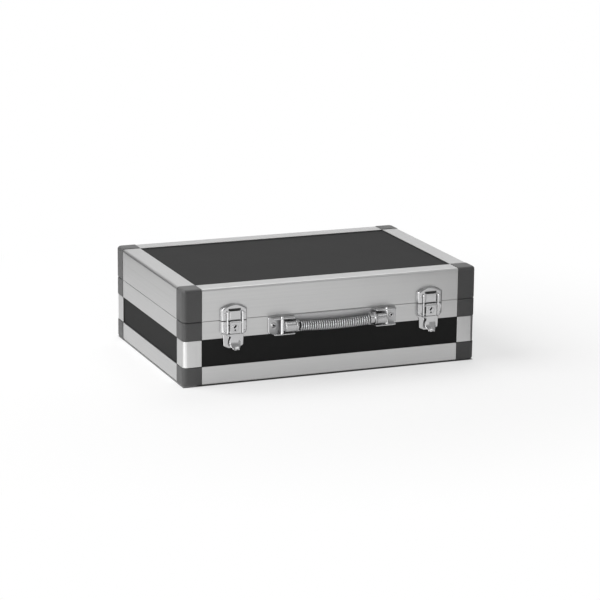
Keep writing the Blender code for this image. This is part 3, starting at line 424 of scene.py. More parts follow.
def open_foam():
    material, shader = new_material("open_foam", (0.035, 0.035, 0.037), 0.95)
    pores = stretched_noise(shader, (1400.0,) * 3, 5.0, 0.75)
    vary_colour(shader, pores, (0.018, 0.018, 0.019), (0.055, 0.055, 0.058))
    roughen(shader, pores, 0.7, 0.35 * MM)
    return material


def make_materials():
    return {
        "aluminium_x": brushed_aluminium("brushed_aluminium_across", 0),
        "aluminium_y": brushed_aluminium("brushed_aluminium_deep", 1),
        "aluminium_z": brushed_aluminium("brushed_aluminium_upright", 2),
        "corner_plastic": moulded_plastic(),
        "laminate": black_laminate(),
        "chrome": bright_chrome(),
        "polished": bright_chrome("polished_chrome", 0.72),
        "satin": bright_chrome("satin_chrome", 0.45, 0.24, 0.3),
        "wound": bright_chrome("wound_chrome", 0.48, 0.34, 0.4),
        # darker, rougher chrome whose colour carries painted shade, for the plate between the handle's
        # brackets
        "inner": bright_chrome("shade_painted_chrome", 0.46, 0.38, 0.45),
        "steel": plated_steel(),
        # painted shade: dark steel for the slot over the hook, the step of the lever, the hasp's cross bar
        # and the strip inside the spring
        "dull": painted_shade_steel(),
        "hole_shade": painted_hole_shade(),
        "foam": open_foam(),
    }


def finish_of(node, materials):
    """The material of a CAD node, with aluminium brushed along the piece."""
    slot = SLOT_OF[node]
    if slot != "aluminium":
        return materials[slot]
    if node.startswith("corner_post"):
        return materials["aluminium_z"]
    return materials["aluminium_x" if node.endswith(("front", "back")) else "aluminium_y"]


def new_object(name, data):
    item = bpy.data.objects.new(name, data)
    bpy.context.scene.collection.objects.link(item)
    return item


def mesh_from(body, name="part"):
    """The mesh of a finished bmesh."""
    mesh = bpy.data.meshes.new(name)
    body.to_mesh(mesh)
    body.free()
    return mesh


def piece_from(body, name, material):
    """A shown piece from a finished bmesh."""
    mesh = mesh_from(body, name)
    mesh.materials.append(material)
    mesh.shade_smooth()
    mesh.set_sharp_from_angle(angle=SHADE_SHARP)
    item = new_object(name, mesh)
    item.modifiers.new("flat_faces", "WEIGHTED_NORMAL").keep_sharp = True
    return item


def cad_body(node):
    """A CAD node as a bmesh, without the triangles of its flat faces."""
    body = bmesh.new()
    body.from_mesh(frame["nodes"][node].data)
    bmesh.ops.remove_doubles(body, verts=body.verts, dist=WELD)
    bmesh.ops.dissolve_limit(body, angle_limit=FLAT, verts=body.verts, edges=body.edges)
    return body


def round_edges(body, width, steps=3):
    """Round the sharp edges of a closed bmesh."""
    sharp = [edge for edge in body.edges if len(edge.link_faces) == 2 and edge.calc_face_angle() > SHARP]
    bmesh.ops.bevel(body, geom=sharp, offset=width, offset_type="OFFSET", segments=steps, profile=0.5,
                    affect="EDGES", clamp_overlap=True)


def softened(node, material):
    """A piece with the shape of a CAD node and rounded edges, shown in its place."""
    body = cad_body(node)
    round_edges(body, POST_SOFT if node.startswith("corner_post") else EDGE_SOFT[SLOT_OF[node]])
    for layer in list(body.loops.layers.uv):
        body.loops.layers.uv.remove(layer)
    stands_for(piece_from(body, node + "_finished", material), node)


def ring_solid(rings, soft=0.0):
    """A mesh through closed rings of equal length, with its sharp edges rounded."""
    body = bmesh.new()
    loops = [[body.verts.new(point) for point in ring] for ring in rings]
    body.faces.new(loops[0])
    body.faces.new(loops[-1])
    for low, high in zip(loops, loops[1:]):
        for index in range(len(low)):
            after = (index + 1) % len(low)
            body.faces.new((low[index], low[after], high[after], high[index]))
    bmesh.ops.recalc_face_normals(body, faces=body.faces)
    if soft:
        round_edges(body, soft)
    return mesh_from(body)


def block(low, high, soft=0.0):
    x0, out0, z0 = low
    x1, out1, z1 = high
    plan = ((x0, -out0), (x1, -out0), (x1, -out1), (x0, -out1))
    return ring_solid([[(x, y, z) for x, y in plan] for z in (z0, z1)], soft)


def facing(levels, soft=0.0):
    """Front outlines of (x, z) points, each at its own out."""
    return ring_solid([[(x, -out, z) for x, z in outline] for out, outline in levels], soft)


def sideways(outline, x0, x1, soft=0.0):
    """A side outline of (out, z) points, run from one x to another."""
    return ring_solid([[(x, -out, z) for out, z in outline] for x in (x0, x1)], soft)


def from_above(outline, z0, z1, soft=0.0):
    """A plan outline of (x, out) points, run from one height to another."""
    return ring_solid([[(x, -out, z) for x, out in outline] for z in (z0, z1)], soft)


def arc(centre, radius, start, end, steps):
    points = []
    for step in range(steps + 1):
        angle = math.radians(start + (end - start) * step / steps)
        points.append((centre[0] + radius * math.cos(angle), centre[1] + radius * math.sin(angle)))
    return points


def turned(profile, axis, at, sides=32):
    """A round mesh from (radius, distance along the axis) points."""
    rings = []
    for radius, reach in profile:
        ring = []
        for side in range(sides):
            angle = math.tau * side / sides
            a = radius * math.cos(angle)
            b = radius * math.sin(angle)
            local = {"X": (reach, a, b), "Y": (b, -reach, a), "Z": (a, b, reach)}[axis]
            ring.append(Vector(local) + Vector(at))
        rings.append(ring)
    return ring_solid(rings)


def dome(radius, out, height, at, hole=0.0):
    """A rivet's low round head, with a hole in its middle or none."""
    steps = 6
    profile = [(radius, out - height)]
    for step in range(steps + 1):
        angle = math.pi / 2 * step / steps
        share = math.cos(angle)
        if radius * share > hole:
            profile.append((max(radius * share, radius * 0.04), out + height * math.sin(angle)))
    if hole:
        profile += [(hole, out + height * 0.9), (hole * 0.95, out + height * 0.5)]
    return turned(profile, "Y", (at[0], 0, at[1]))


def tube(path, radius, sides):
    """A round bar along a path."""
    points = [Vector(point) for point in path]
    rings = []
    side = None
    for index, point in enumerate(points):
        before = points[max(index - 1, 0)]
        after = points[min(index + 1, len(points) - 1)]
        run = (after - before).normalized()
        if side is None:
            side = run.cross(Vector(ODD_WAY)).normalized()
        side = (side - run * side.dot(run)).normalized()
        other = run.cross(side)
        rings.append([point + (side * math.cos(angle) + other * math.sin(angle)) * radius
                      for angle in (math.tau * step / sides for step in range(sides))])
    return ring_solid(rings)


def bent(path, radius, steps=5):
    """The same path with its corners rounded."""
    points = [Vector(point) for point in path]
    line = [points[0]]
    for before, corner, after in zip(points, points[1:], points[2:]):
        reach = min(radius, (before - corner).length / 2, (after - corner).length / 2)
        start = corner + (before - corner).normalized() * reach
        end = corner + (after - corner).normalized() * reach
        for step in range(steps + 1):
            share = step / steps
            line.append(start.lerp(corner, share).lerp(corner.lerp(end, share), share))
    line.append(points[-1])
    return line


def joined(name, parts, at, material):
    """One piece from several meshes, moved to its place."""
    body = bmesh.new()
    for mesh in parts:
        body.from_mesh(mesh)
        bpy.data.meshes.remove(mesh)
    body.transform(Matrix.Translation(at))
    return piece_from(body, name, material)


def stands_for(item, node):
    """Let a piece ride on its node's body and be shown in its place."""
    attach(item, BODY_OF[node])
    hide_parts(node)


def cut_out(item, parts):
    """Cut closed meshes out of an item."""
    for mesh in parts:
        tool = new_object("tool", mesh)
        modifier = item.modifiers.new("cut", "BOOLEAN")
        modifier.operation = "DIFFERENCE"
        modifier.solver = "EXACT"
        modifier.object = tool
        graph = bpy.context.evaluated_depsgraph_get()
        result = bpy.data.meshes.new_from_object(item.evaluated_get(graph))
        item.modifiers.remove(modifier)
        item.data = result
        bpy.data.objects.remove(tool)


def line_with(item, material, inside):
    """Give a second material to the faces whose middles a test accepts."""
    item.data.materials.append(material)
    for face in item.data.polygons:
        if inside(face.center.x, -face.center.y, face.center.z):
            face.material_index = len(item.data.materials) - 1


def hood_outline(inset_x, inset_z):
    """Arch over straight sides, from its lower right round to its lower left."""
    half = LATCH_HALF - inset_x
    spring = HOOD_SPRING - inset_z
    rise = HOOD_TOP - inset_z - spring
    radius = (half ** 2 + rise ** 2) / (2 * rise)
    wide = math.degrees(math.asin(half / radius))
    crown = arc((0, HOOD_TOP - inset_z - radius), radius, 90 - wide, 90 + wide, 24)
    return [(half, HOOD_LOW), *crown, (-half, HOOD_LOW)]


def swell(steps=7):
    """Steps of a rounded rise: share of the height, and share of the way in."""
    angles = [math.pi / 2 * step / steps for step in range(steps + 1)]
    return [(math.sin(angle), 1 - math.cos(angle)) for angle in angles]


def hook_outline(inward):
    """The hook's front outline, at a share of its rounding."""
    side, foot, top = (soft * inward for soft in HOOK_SOFT)
    half, low, high = HOOK_HALF - side, HOOK_LOW + foot, HOOK_TOP - top
    return [(ASIDE + half, low), (ASIDE + half, high), (ASIDE - half, high), (ASIDE - half, low)]


def bed(sign, z0, z1):
    """Raised bed in the gap beside the hook or the lever, under a side bar of the hasp."""
    first, last = sorted(sign * x for x in BED)
    return block((first, ROOT_OUT, z0), (last, BED_OUT, z1))


def hood_out(rise):
    """Out of the hood's or a wing's rounded side, at a share of its height."""
    return ROOT_OUT + (HOOD_OUT - ROOT_OUT) * rise


def make_strike(side, at, materials):
    """Domed hood with its channel, its hook and two rivets, and a sheet of painted shade at the back of the
    slot over the hook.
    """
    sheet = facing([(NODE_GAP, hood_outline(0, 0)), (ROOT_OUT, hood_outline(0, 0)),
                    (PLATE_OUT, hood_outline(SHEET_SOFT, SHEET_SOFT))])
    levels = []
    for rise, inward in swell():
        soft = SHEET_SOFT * inward
        outer = hood_outline(SHEET_SOFT + HOOD_SLOPE * inward, SHEET_SOFT + HOOD_CROWN * inward)
        half, top = CHANNEL_HALF + soft, CHANNEL_TOP + soft
        slot, slot_top = SLOT_HALF + soft, SLOT_TOP + soft
        turn_x, turn_z = half - CHANNEL_ROUND, top - CHANNEL_ROUND
        channel = [(-half, HOOD_LOW), *arc((-turn_x, turn_z), CHANNEL_ROUND, 180, 90, 4), (-slot, top),
                   (-slot, slot_top), (slot, slot_top), (slot, top),
                   *arc((turn_x, turn_z), CHANNEL_ROUND, 90, 0, 4), (half, HOOD_LOW)]
        levels.append((hood_out(rise), outer + channel))
    hood = facing(levels)
    hook = [(ROOT_OUT, hook_outline(0))]
    hook += [(HOOK_OUT - HOOK_RISE * (1 - rise), hook_outline(inward)) for rise, inward in swell(5)]
    slot_shade = block((-SLOT_HALF, ROOT_OUT, HOOK_TOP - 0.4 * MM),
                   (SLOT_HALF, PLATE_OUT + SLOT_SHADE_SHEET, SLOT_TOP + BITE))
    parts = [sheet, hood, facing(hook), slot_shade]
    aside, rivet_z, height = STRIKE_RIVET
    for sign in (-1, 1):
        parts.append(bed(sign, HOOD_LOW + BITE, CHANNEL_TOP))
        parts.append(dome(SMALL_RIVET_R, HOOD_OUT, height, (sign * aside, rivet_z)))
    item = joined(f"strike_{side}", parts, at, materials["chrome"])
    # the sheet's front face gets dark steel: painted shade in the slot
    shade_front = PLATE_OUT + SLOT_SHADE_SHEET - at.y
    line_with(item, materials["dull"], lambda x, out, z: abs(out - shade_front) < TOUCH and abs(x - at.x) < MM)
    stands_for(item, f"latch_strike_{side}")


def foot_outline(inset):
    """The plate's outline, from its upper right round the foot to its upper left."""
    half = LATCH_HALF - inset
    foot = FOOT_HALF - inset
    low = FOOT_LOW + inset
    cut_x, cut_z = FOOT_CUT
    toe = foot - FOOT_TAPER
    right = [(half, PLATE_TOP), (half, WING_LOW + WING_TURN)]
    right += [(half - aside, WING_LOW + share * WING_TURN) for aside, share in SHOULDER]
    right += [(foot, WING_LOW - SHOULDER_DROP), (toe, low + cut_z),
              (toe - FOOT_KINK[0], low + cut_z - FOOT_KINK[1]), (toe - cut_x, low)]
    return right + [(-x, z) for x, z in right[::-1]]


def wing_outline(inset_x, inset_z):
    """Right wing, with its lower outer corner curved."""
    half = LATCH_HALF - inset_x
    low = WING_LOW + inset_z
    turn = WING_TURN - inset_z / 2
    curve = arc((half - turn, low + turn), turn, 0, -90, 7)
    return [(CHANNEL_HALF, PLATE_TOP), (half, PLATE_TOP), *curve, (CHANNEL_HALF, low)]


def make_latch_plate(side, at, material):
    """Plate with its raised wings, the round swellings at the pin, ears and rivets."""
    sheet = [(NODE_GAP, foot_outline(0))]
    for rise, inward in swell(4):
        sheet.append((PLATE_OUT - FOOT_SOFT * (1 - rise), foot_outline(FOOT_SOFT * inward)))
    parts = [facing(sheet)]
    aside, rivet_z, height, hole = PLATE_RIVET
    inner, outer, round_r = EAR
    for sign in (-1, 1):
        levels = []
        for rise, inward in swell():
            outline = wing_outline(SHEET_SOFT + HOOD_SLOPE * inward, SHEET_SOFT + WING_RISE * inward)
            levels.append((hood_out(rise), [(sign * x, z) for x, z in outline]))
        parts.append(facing(levels))
        boss = []
        for rise, inward in swell(3):
            round_side = arc((CHANNEL_HALF, BOSS_Z), BOSS_R - BOSS_H * inward, 90, -90, 16)
            out = HOOD_OUT - BITE + (BOSS_H + BITE) * rise
            boss.append((out, [(sign * x, z) for x, z in round_side]))
        parts.append(facing(boss))
        parts.append(dome(SMALL_RIVET_R, HOOD_OUT, height, (sign * aside, rivet_z), hole))
        parts.append(bed(sign, NECK_Z + 0.8 * MM, PIVOT[1] - round_r - 0.5 * MM))
        crest = arc(PIVOT, round_r, -80, 90, 10)
        side_line = [(ROOT_OUT, PIVOT[1] - 2 * round_r), *crest, (ROOT_OUT, PIVOT[1] + round_r)]
        parts.append(sideways(side_line, *sorted((sign * inner, sign * outer))))
    item = joined(f"catch_plate_{side}", parts, at, material)
    stands_for(item, f"latch_plate_{side}")


def sheet_ring(out, z, run, half, dish, ridge):
    """Section across the lever's sheet, whose long edges are rolled back."""
    roll = min(LEVER_ROLL, 0.29 * half)
    face = LEVER_T / 2
    right = [(half / 2, -face), (half - 0.2 * MM, -face), (half, 0.2 * MM - face)]
    back = min(0.8 * LEVER_T, roll)
    right += [(half - roll * inward, face - back * (1 - rise)) for rise, inward in swell(5)]
    front = [(half * tenth / 10, face) for tenth in range(7, -8, -1)]
    section = []
    for x, n in right + front + [(-x, n) for x, n in right[::-1]]:
        reach = n + dish * (x / half) ** 2 + ridge * math.exp(-((x / half - RIDGE[0]) / RIDGE[1]) ** 2)
        section.append((x + ASIDE, -(out + run.y * reach), z - run.x * reach))
    return section


def make_lever(side, at, materials):
    """Curl round the pin, the face, two cheeks and a dished thumb tab, with a line of painted shade under the
    step.
    """
    stations = [(out, z, LEVER_HALF, 0.0, 0.0) for out, z in arc(PIVOT, LEVER_CURL, LEVER_WRAP, 0, 20)]
    stations += [(LEVER_OUT - back, NECK_Z + up, LEVER_HALF * share, 0.0, 0.0)
                 for back, up, share in NECK_LINE]
    stations += [(out * MM, z * MM, TAB_HALF * share, dish * MM, ridge * MM)
                 for out, z, share, dish, ridge in TAB_LINE]
    rings = []
    for index, (out, z, *across) in enumerate(stations):
        before = Vector(stations[max(index - 1, 0)][:2])
        after = Vector(stations[min(index + 1, len(stations) - 1)][:2])
        rings.append(sheet_ring(out, z, (after - before).normalized(), *across))
    parts = [ring_solid(rings)]
    root = LEVER_OUT - LEVER_T / 4
    foot_root = root - LEVER_T
    cheek = [(root, STUB[1] + 3 * CHEEK_R), *arc(STUB, CHEEK_R, 100, 260, 8), (foot_root, STUB[1] - CHEEK_R),
             (foot_root, NECK_Z), (root, NECK_Z + LEVER_T)]
    for sign in (-1, 1):
        outer = sign * (LEVER_HALF - BITE) + ASIDE
        ends = sorted((outer - sign * 1.0 * MM, outer))
        parts.append(sideways(cheek, *ends, 0.15 * MM))
    shade_half, shade_low, shade_high, shade_out = STEP_SHADE
    parts.append(block((-shade_half, LEVER_OUT - LEVER_T, shade_low), (shade_half, shade_out, shade_high)))
    item = joined(f"lever_{side}", parts, at, materials["chrome"])
    hole = [(LOCK_R + LOCK_FIT, LOCK_BACK), (LOCK_R + LOCK_FIT, LEVER_OUT + LEVER_T)]
    cut_out(item, [turned(hole, "Y", at + Vector((0, 0, LOCK_Z)))])
    # painted shade on the front of the block under the step
    line_with(item, materials["dull"],
              lambda x, out, z: abs(out + at.y - shade_out) < TOUCH and shade_low < z < shade_high)
    stands_for(item, f"latch_lever_{side}")


def make_lock(side, at, materials):
    """Barrel nearly flush with the lever, with a dark slanted keyhole."""
    front = LEVER_OUT + LEVER_T / 2 + LOCK_PROUD
    middle = at + Vector((0, 0, LOCK_Z))
    profile = [(LOCK_R, LOCK_BACK)] + [(LOCK_R - inward, front - back) for inward, back in LOCK_EDGE]
    cam_half, cam_low, cam_high = CAM
    cam = block((-cam_half, LOCK_BACK - 1.0 * MM, cam_low),
                (cam_half, LOCK_BACK + 0.3 * MM, cam_high), 0.2 * MM)
    barrel = turned(profile, "Y", (0, 0, 0), 48)
    item = joined(f"lock_{side}_barrel", [barrel, cam], middle, materials["chrome"])
    half, length = KEY_HALF
    outline = arc((0, length - half), half, 0, 180, 6) + arc((0, half - length), half, 180, 360, 6)
    slot = facing([(out, outline) for out in (front - KEY_DEEP, front + KEY_DEEP)])
    slot.transform(Matrix.Rotation(KEY_SLANT, 4, "Y"))
    slot.transform(Matrix.Translation(middle + Vector((0, 0, KEY_UP))))
    dot = turned([(KEY_DOT[0], front - KEY_DEEP), (KEY_DOT[0], front + KEY_DEEP)], "Y",
                 middle + Vector((0, 0, KEY_DOT[1])), 16)
    cut_out(item, [slot, dot])
    # painted shade inside the keyhole
    line_with(item, materials["hole_shade"],
              lambda x, out, z: (out + middle.y < front - BITE
                                 and math.hypot(x - middle.x, z - middle.z) < LOCK_R * 0.9))
    stands_for(item, f"lock_barrel_{side}")


def make_hasp(side, at, materials):
    """One bent bar: a stub, a side bar, the cross bar over the hook, and back."""
    path = [(-EAR[0] + 1.2 * MM, -STUB[0], STUB[1]), (-HASP_X, -STUB[0], STUB[1]),
            (-HASP_X, -HASP_OUT, STUB[1] + 2.4 * MM), (-HASP_X, -HASP_OUT, HASP_BEND_Z),
            (-HASP_X, -HASP_CROSS[0] - 1 * MM, HASP_BEND_Z), (-HOOK_HALF, -HASP_CROSS[0], HASP_CROSS[1])]
    path += [(-x, y, z) for x, y, z in path[::-1]]
    bar = tube(bent(path, HASP_BEND), HASP_R, 14)
    item = joined(f"hasp_{side}_frame", [bar], at, materials["polished"])
    # painted shade on the cross bar, which lies under the hood
    line_with(item, materials["dull"], lambda x, out, z: abs(x - at.x) < HASP_X - 1.2 * MM and z > HOOK_TOP)
    stands_for(item, f"latch_hasp_{side}")


def make_lever_pin(side, at, material):
    right = [(PIN_R * share, EAR[1] - back) for share, back in PIN_END]
    pin = turned([(radius, -x) for radius, x in right[::-1]] + right, "X", (0, -PIVOT[0], PIVOT[1]))
    item = joined(f"lever_pin_{side}", [pin], at, material)
    stands_for(item, f"latch_lever_pin_{side}")


def make_latches(materials):
    for side in ("left", "right"):
        low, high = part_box(f"latch_plate_{side}")
        at = Vector(((low.x + high.x) / 2, high.y + NODE_GAP, 0))
        make_strike(side, at, materials)
        make_latch_plate(side, at, materials["chrome"])
        make_lever(side, at, materials)
        make_hasp(side, at, materials)
        make_lever_pin(side, at, materials["steel"])
        make_lock(side, at, materials)


def handle_outline(inset):
    """The back plate's outline, with its corners rounded."""
    half = HANDLE_HALF - inset - HANDLE_CUT
    high = HANDLE_HIGH - inset - HANDLE_CUT
    points = []
    for sign_x, sign_z, start in ((1, 1, 0), (-1, 1, 90), (-1, -1, 180), (1, -1, 270)):
        points += arc((sign_x * half, HANDLE_Z + sign_z * high), HANDLE_CUT, start, start + 90, 5)
    return points


def flange_plan(sign):
    """Plan of a bracket's flange, with its outer front corner rounded at the right end."""
    tip_x, tip_out = BRACKET_TIP
    corner_cut, tip_cut = BRACKET_CUT
    front_x = BRACKET_X - BRACKET_LEAN
    if sign < 0:
        outer = [(front_x, tip_out - corner_cut), (front_x - corner_cut, tip_out)]
    else:
        outer = arc((front_x - BRACKET_ROUND, tip_out - BRACKET_ROUND), BRACKET_ROUND, 0, 90, 8)
    root = PLATE_OUT - BRACKET_SINK
    plan = [(BRACKET_X, root), *outer, (tip_x + tip_cut, tip_out), (tip_x, tip_out - tip_cut),
            (BRACKET_ROOT, root)]
    return [(sign * x, out) for x, out in plan]


def make_handle_plate(at, materials):
    """Back plate with rounded edges, the two brackets and their rivets, with painted shade on the plate
    between the brackets and in the rivets' holes.
    """
    sheet = [(NODE_GAP, handle_outline(0))]
    for rise, inward in swell(5):
        sheet.append((PLATE_OUT - HANDLE_SOFT * (1 - rise), handle_outline(HANDLE_SOFT * inward)))
    parts = [facing(sheet)]
    top = HANDLE_Z + HANDLE_HIGH - BRACKET_IN
    low = HANDLE_Z - HANDLE_HIGH + BRACKET_IN
    rivet_x, rivet_r, rivet_h = EAR_RIVET
    for sign in (-1, 1):
        shape = flange_plan(sign)
        parts.append(from_above(shape, top - BRACKET_T, top, BRACKET_SOFT))
        parts.append(from_above(shape, low, low + BRACKET_T, BRACKET_SOFT))
        parts.append(dome(rivet_r, PLATE_OUT, rivet_h, (sign * rivet_x, HANDLE_Z), RIVET_HOLE))
    item = joined("handle_back", parts, at, materials["chrome"])
    # painted shade of the spring and the brackets on the plate between them
    line_with(item, materials["inner"],
              lambda x, out, z: abs(x - at.x) < BRACKET_ROOT and out + at.y > PLATE_OUT - BITE)
    # painted shade in the rivets' holes
    line_with(item, materials["hole_shade"],
              lambda x, out, z: math.hypot(abs(x - at.x) - rivet_x, z - HANDLE_Z) < RIVET_HOLE * 1.01)
    stands_for(item, "handle_plate")


def make_handle_ends(at, materials):
    """Pin, eye, drum and collar at each end of the grip."""
    drum_x, drum_r = DRUM
    collar_x, collar_r, collar_t = COLLAR
    pin_r = GRIP_PIN[1]
    head_r, head_h = PIN_HEAD
    head_low = HANDLE_HIGH + 0.1 * MM
    foot_low = BRACKET_T + 0.4 * MM - HANDLE_HIGH
    pin_low = 0.4 * MM - HANDLE_HIGH
    pin = [(pin_r * 0.5, pin_low), (pin_r, pin_low + 0.2 * MM), (pin_r, foot_low),
           (head_r, foot_low + 0.1 * MM), (head_r, foot_low + 0.7 * MM), (pin_r, foot_low + 1.7 * MM),
           (pin_r, head_low), (head_r, head_low)]
    pin += [(max(head_r * (1 - inward), head_r * 0.05), head_low + 0.2 * MM + (head_h - 0.2 * MM) * rise)
            for rise, inward in swell(6)]
    middle = (0, -GRIP_OUT, FITTING_Z)
    for side, sign, spring_end, turn in (("left", -1, SPRING_ENDS[0], 90), ("right", 1, SPRING_ENDS[1], -90)):
        sleeve = abs(spring_end) + WIRE_R + 0.3 * MM
        profile = [(drum_r * 0.5, drum_x + 0.1 * MM)]
        profile += [(drum_r - DRUM_SOFT * (1 - rise), drum_x - DRUM_SOFT * inward)
                    for rise, inward in swell(5)]
        profile += [(drum_r - 0.15 * MM, collar_x + 1.6 * MM), (drum_r + 0.25 * MM, collar_x + 0.7 * MM)]
        profile += [(collar_r - COLLAR_SOFT * (1 - rise), collar_x + 0.4 * MM - COLLAR_SOFT * inward)
                    for rise, inward in swell(4)]
        profile += [(collar_r - 0.25 * MM, collar_x - collar_t * 0.7), (SLEEVE_R, collar_x - collar_t),
                    (SLEEVE_R, sleeve + SLEEVE_CUT), (SLEEVE_R - SLEEVE_CUT, sleeve), (drum_r * 0.4, sleeve)]
        parts = [turned([(radius, sign * x) for radius, x in profile], "X", middle, 48)]
        pin_x = sign * GRIP_PIN[0] + PIN_ASIDE
        eye = arc((pin_x, 0), EYE_R, turn, turn + 180, 10)
        inner = sign * (drum_x - 2.0 * MM)
        eye_mesh = from_above([(inner, eye[-1][1]), (inner, eye[0][1]), *eye], -EYE_HALF, EYE_HALF, 0.2 * MM)
        eye_mesh.transform(Matrix.Translation(middle))
        parts += [eye_mesh, turned(pin, "Z", (pin_x, -GRIP_OUT, HANDLE_Z))]
        item = joined(f"grip_fitting_{side}", parts, at, materials["satin"])
        place = (at.x + pin_x, GRIP_OUT - at.y)
        line_with(item, materials["polished"], lambda x, out, z: math.dist((x, out), place) < 1.01 * head_r)
        stands_for(item, f"handle_end_{side}")


def droop(x):
    """How far the spring hangs under the middle of its fittings."""
    return DROOP[0] + DROOP[1] * (1 - (x / BOW_REACH) ** 2)


def spring_line():
    """Middle line of the spring's turns, flattened at the back."""
    first, last = SPRING_ENDS
    steps = SPRING_TURNS * TURN_POINTS
    line = []
    for step in range(steps + 1):
        x = first + (last - first) * step / steps
        angle = math.tau * step / TURN_POINTS
        across = SPRING_R * math.sin(angle)
        line.append((x, (across * SPRING_BACK if across > 0 else across) - GRIP_OUT,
                     SPRING_R * math.cos(angle) + HANDLE_Z - droop(x)))
    return line


def strip_section():
    """The strip's section as (y, z) points, with its corners cut."""
    thick, high = STRIP[0] / 2, STRIP[1] / 2
    back = [(thick - STRIP_CUT, -high), (thick, STRIP_CUT - high),
            (thick, high - STRIP_CUT), (thick - STRIP_CUT, high)]
    return back + [(-y, z) for y, z in back[::-1]]


def make_grip(at, wire, steel):
    """Round wire spring, and the steel strip inside it, both hanging a little in the middle."""
    spring = joined("grip_spring", [tube(spring_line(), WIRE_R, WIRE_SIDES)], at, wire)
    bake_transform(spring)
    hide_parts("handle_spring")
    half = COLLAR[0] - COLLAR[2] / 2
    rings = []
    for step in range(STRIP_STATIONS):
        x = half * (2 * step / (STRIP_STATIONS - 1) - 1)
        rings.append([(x, y - GRIP_OUT, z + HANDLE_Z - droop(x)) for y, z in strip_section()])
    # the strip's dark colour is painted shade between the spring's turns
    strip = joined("grip_strip", [ring_solid(rings)], at, steel)
    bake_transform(strip)


def make_handle(materials):
    low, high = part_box("handle_plate")
    at = Vector(((low.x + high.x) / 2, high.y + NODE_GAP, 0))
    make_handle_plate(at, materials)
    make_handle_ends(at, materials)
    make_grip(at, materials["wound"], materials["dull"])


def make_lid_pad(material):
    """Pad with an egg-crate face downwards."""
    low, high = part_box("lid_foam")
    count_x = int((high.x - low.x) / PAD_STEP)
    count_y = int((high.y - low.y) / PAD_STEP)
    body = bmesh.new()
    grid = []
    for row in range(count_y + 1):
        y = low.y + (high.y - low.y) * row / count_y
        line = []
        for column in range(count_x + 1):
            x = low.x + (high.x - low.x) * column / count_x
            inside = 0 < column < count_x and 0 < row < count_y
            wave = math.sin(math.tau * (x - low.x) / PAD_WAVE) * math.sin(math.tau * (y - low.y) / PAD_WAVE)
            lift = PAD_DEEP * (0.5 + 0.5 * wave) if inside else FOAM_SOFT
            line.append(body.verts.new((x, y, low.z + lift)))
        grid.append(line)
    for row in range(count_y):
        for column in range(count_x):
            body.faces.new((grid[row][column], grid[row + 1][column], grid[row + 1][column + 1],
                            grid[row][column + 1]))
    border = [edge for edge in body.edges if edge.is_boundary]
    wall = bmesh.ops.extrude_edge_only(body, edges=border)
    for item in wall["geom"]:
        if isinstance(item, bmesh.types.BMVert):
            item.co.z = high.z
    rim = [edge for edge in body.edges if edge.is_boundary]
    bmesh.ops.holes_fill(body, edges=rim, sides=0)
    bmesh.ops.recalc_face_normals(body, faces=body.faces)
    item = piece_from(body, "lid_pad", material)
    stands_for(item, "lid_foam")


def make_tray(material):
    """Foam tray with soft edges and a pocket."""
    body = cad_body("base_foam")
    round_edges(body, FOAM_SOFT, 4)
    item = piece_from(body, "base_tray", material)
    stands_for(item, "base_foam")


def flat_corners(low, high, height):
    return ((low[0], low[1], height), (high[0], low[1], height), (high[0], high[1], height),
            (low[0], high[1], height))


def stage_sheet(name, corners, material):
    """A sheet that isn't part of the case."""
    body = bmesh.new()
    body.faces.new([body.verts.new(corner) for corner in corners])
    item = new_object(name, mesh_from(body, name))
    item.data.materials.append(material)
    return item


def make_floor():
    """White floor that keeps the case's shadow, without a glow of its own right under the case."""
    half = FLOOR_SIZE / 2
    stage_sheet("floor", flat_corners((-half, -half), (half, half), 0.0), floor_white())
    shade = new_material("floor_under_case", (FLOOR_GREY,) * 3, 1.0, specular=0.0)[0]
    low = (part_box("base_profile_left")[0].x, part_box("base_profile_front")[0].y)
    high = (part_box("base_profile_right")[1].x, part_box("base_profile_back")[1].y)
    stage_sheet("floor_under", flat_corners(low, high, UNDER_LIFT), shade)


def floor_white():
    """Matt grey with a glow near the case, plain white further out, and plain matt for the case's light."""
    material, tree, surface = bare_material("floor_white")
    place = add_node(tree, "ShaderNodeTexCoord")
    reach = add_node(tree, "ShaderNodeVectorMath", operation="LENGTH")
    tree.links.new(place.outputs["Object"], reach.inputs[0])
    far = remap(tree, reach.outputs["Value"], (WHITE_FROM, WHITE_AT), (0.0, 1.0),
                interpolation_type="SMOOTHSTEP")
    matt = add_node(tree, "ShaderNodeBsdfDiffuse")
    tree.links.new(remap(tree, far, (0.0, 1.0), (FLOOR_GREY, 0.0)), matt.inputs["Color"])
    glow = add_node(tree, "ShaderNodeEmission")
    tree.links.new(remap(tree, far, (0.0, 1.0), (FLOOR_GLOW, 1.0)), glow.inputs["Strength"])
    both = add_node(tree, "ShaderNodeAddShader")
    tree.links.new(matt.outputs[0], both.inputs[0])
    tree.links.new(glow.outputs[0], both.inputs[1])
    bounce = add_node(tree, "ShaderNodeBsdfDiffuse", {"Color": (*(FLOOR_BOUNCE,) * 3, 1.0)})
    seen = add_node(tree, "ShaderNodeMixShader")
    tree.links.new(shown_rays(tree), seen.inputs["Fac"])
    tree.links.new(bounce.outputs[0], seen.inputs[1])
    tree.links.new(both.outputs[0], seen.inputs[2])
    tree.links.new(seen.outputs[0], surface)
    return material


def shown_rays(tree):
    """1 for rays from the camera, a mirror or glass."""
    path = add_node(tree, "ShaderNodeLightPath")
    shown = path.outputs["Is Camera Ray"]
    for kind in ("Is Glossy Ray", "Is Transmission Ray"):
        either = add_node(tree, "ShaderNodeMath", operation="MAXIMUM")
        tree.links.new(shown, either.inputs[0])
        tree.links.new(path.outputs[kind], either.inputs[1])
        shown = either.outputs[0]
    return shown


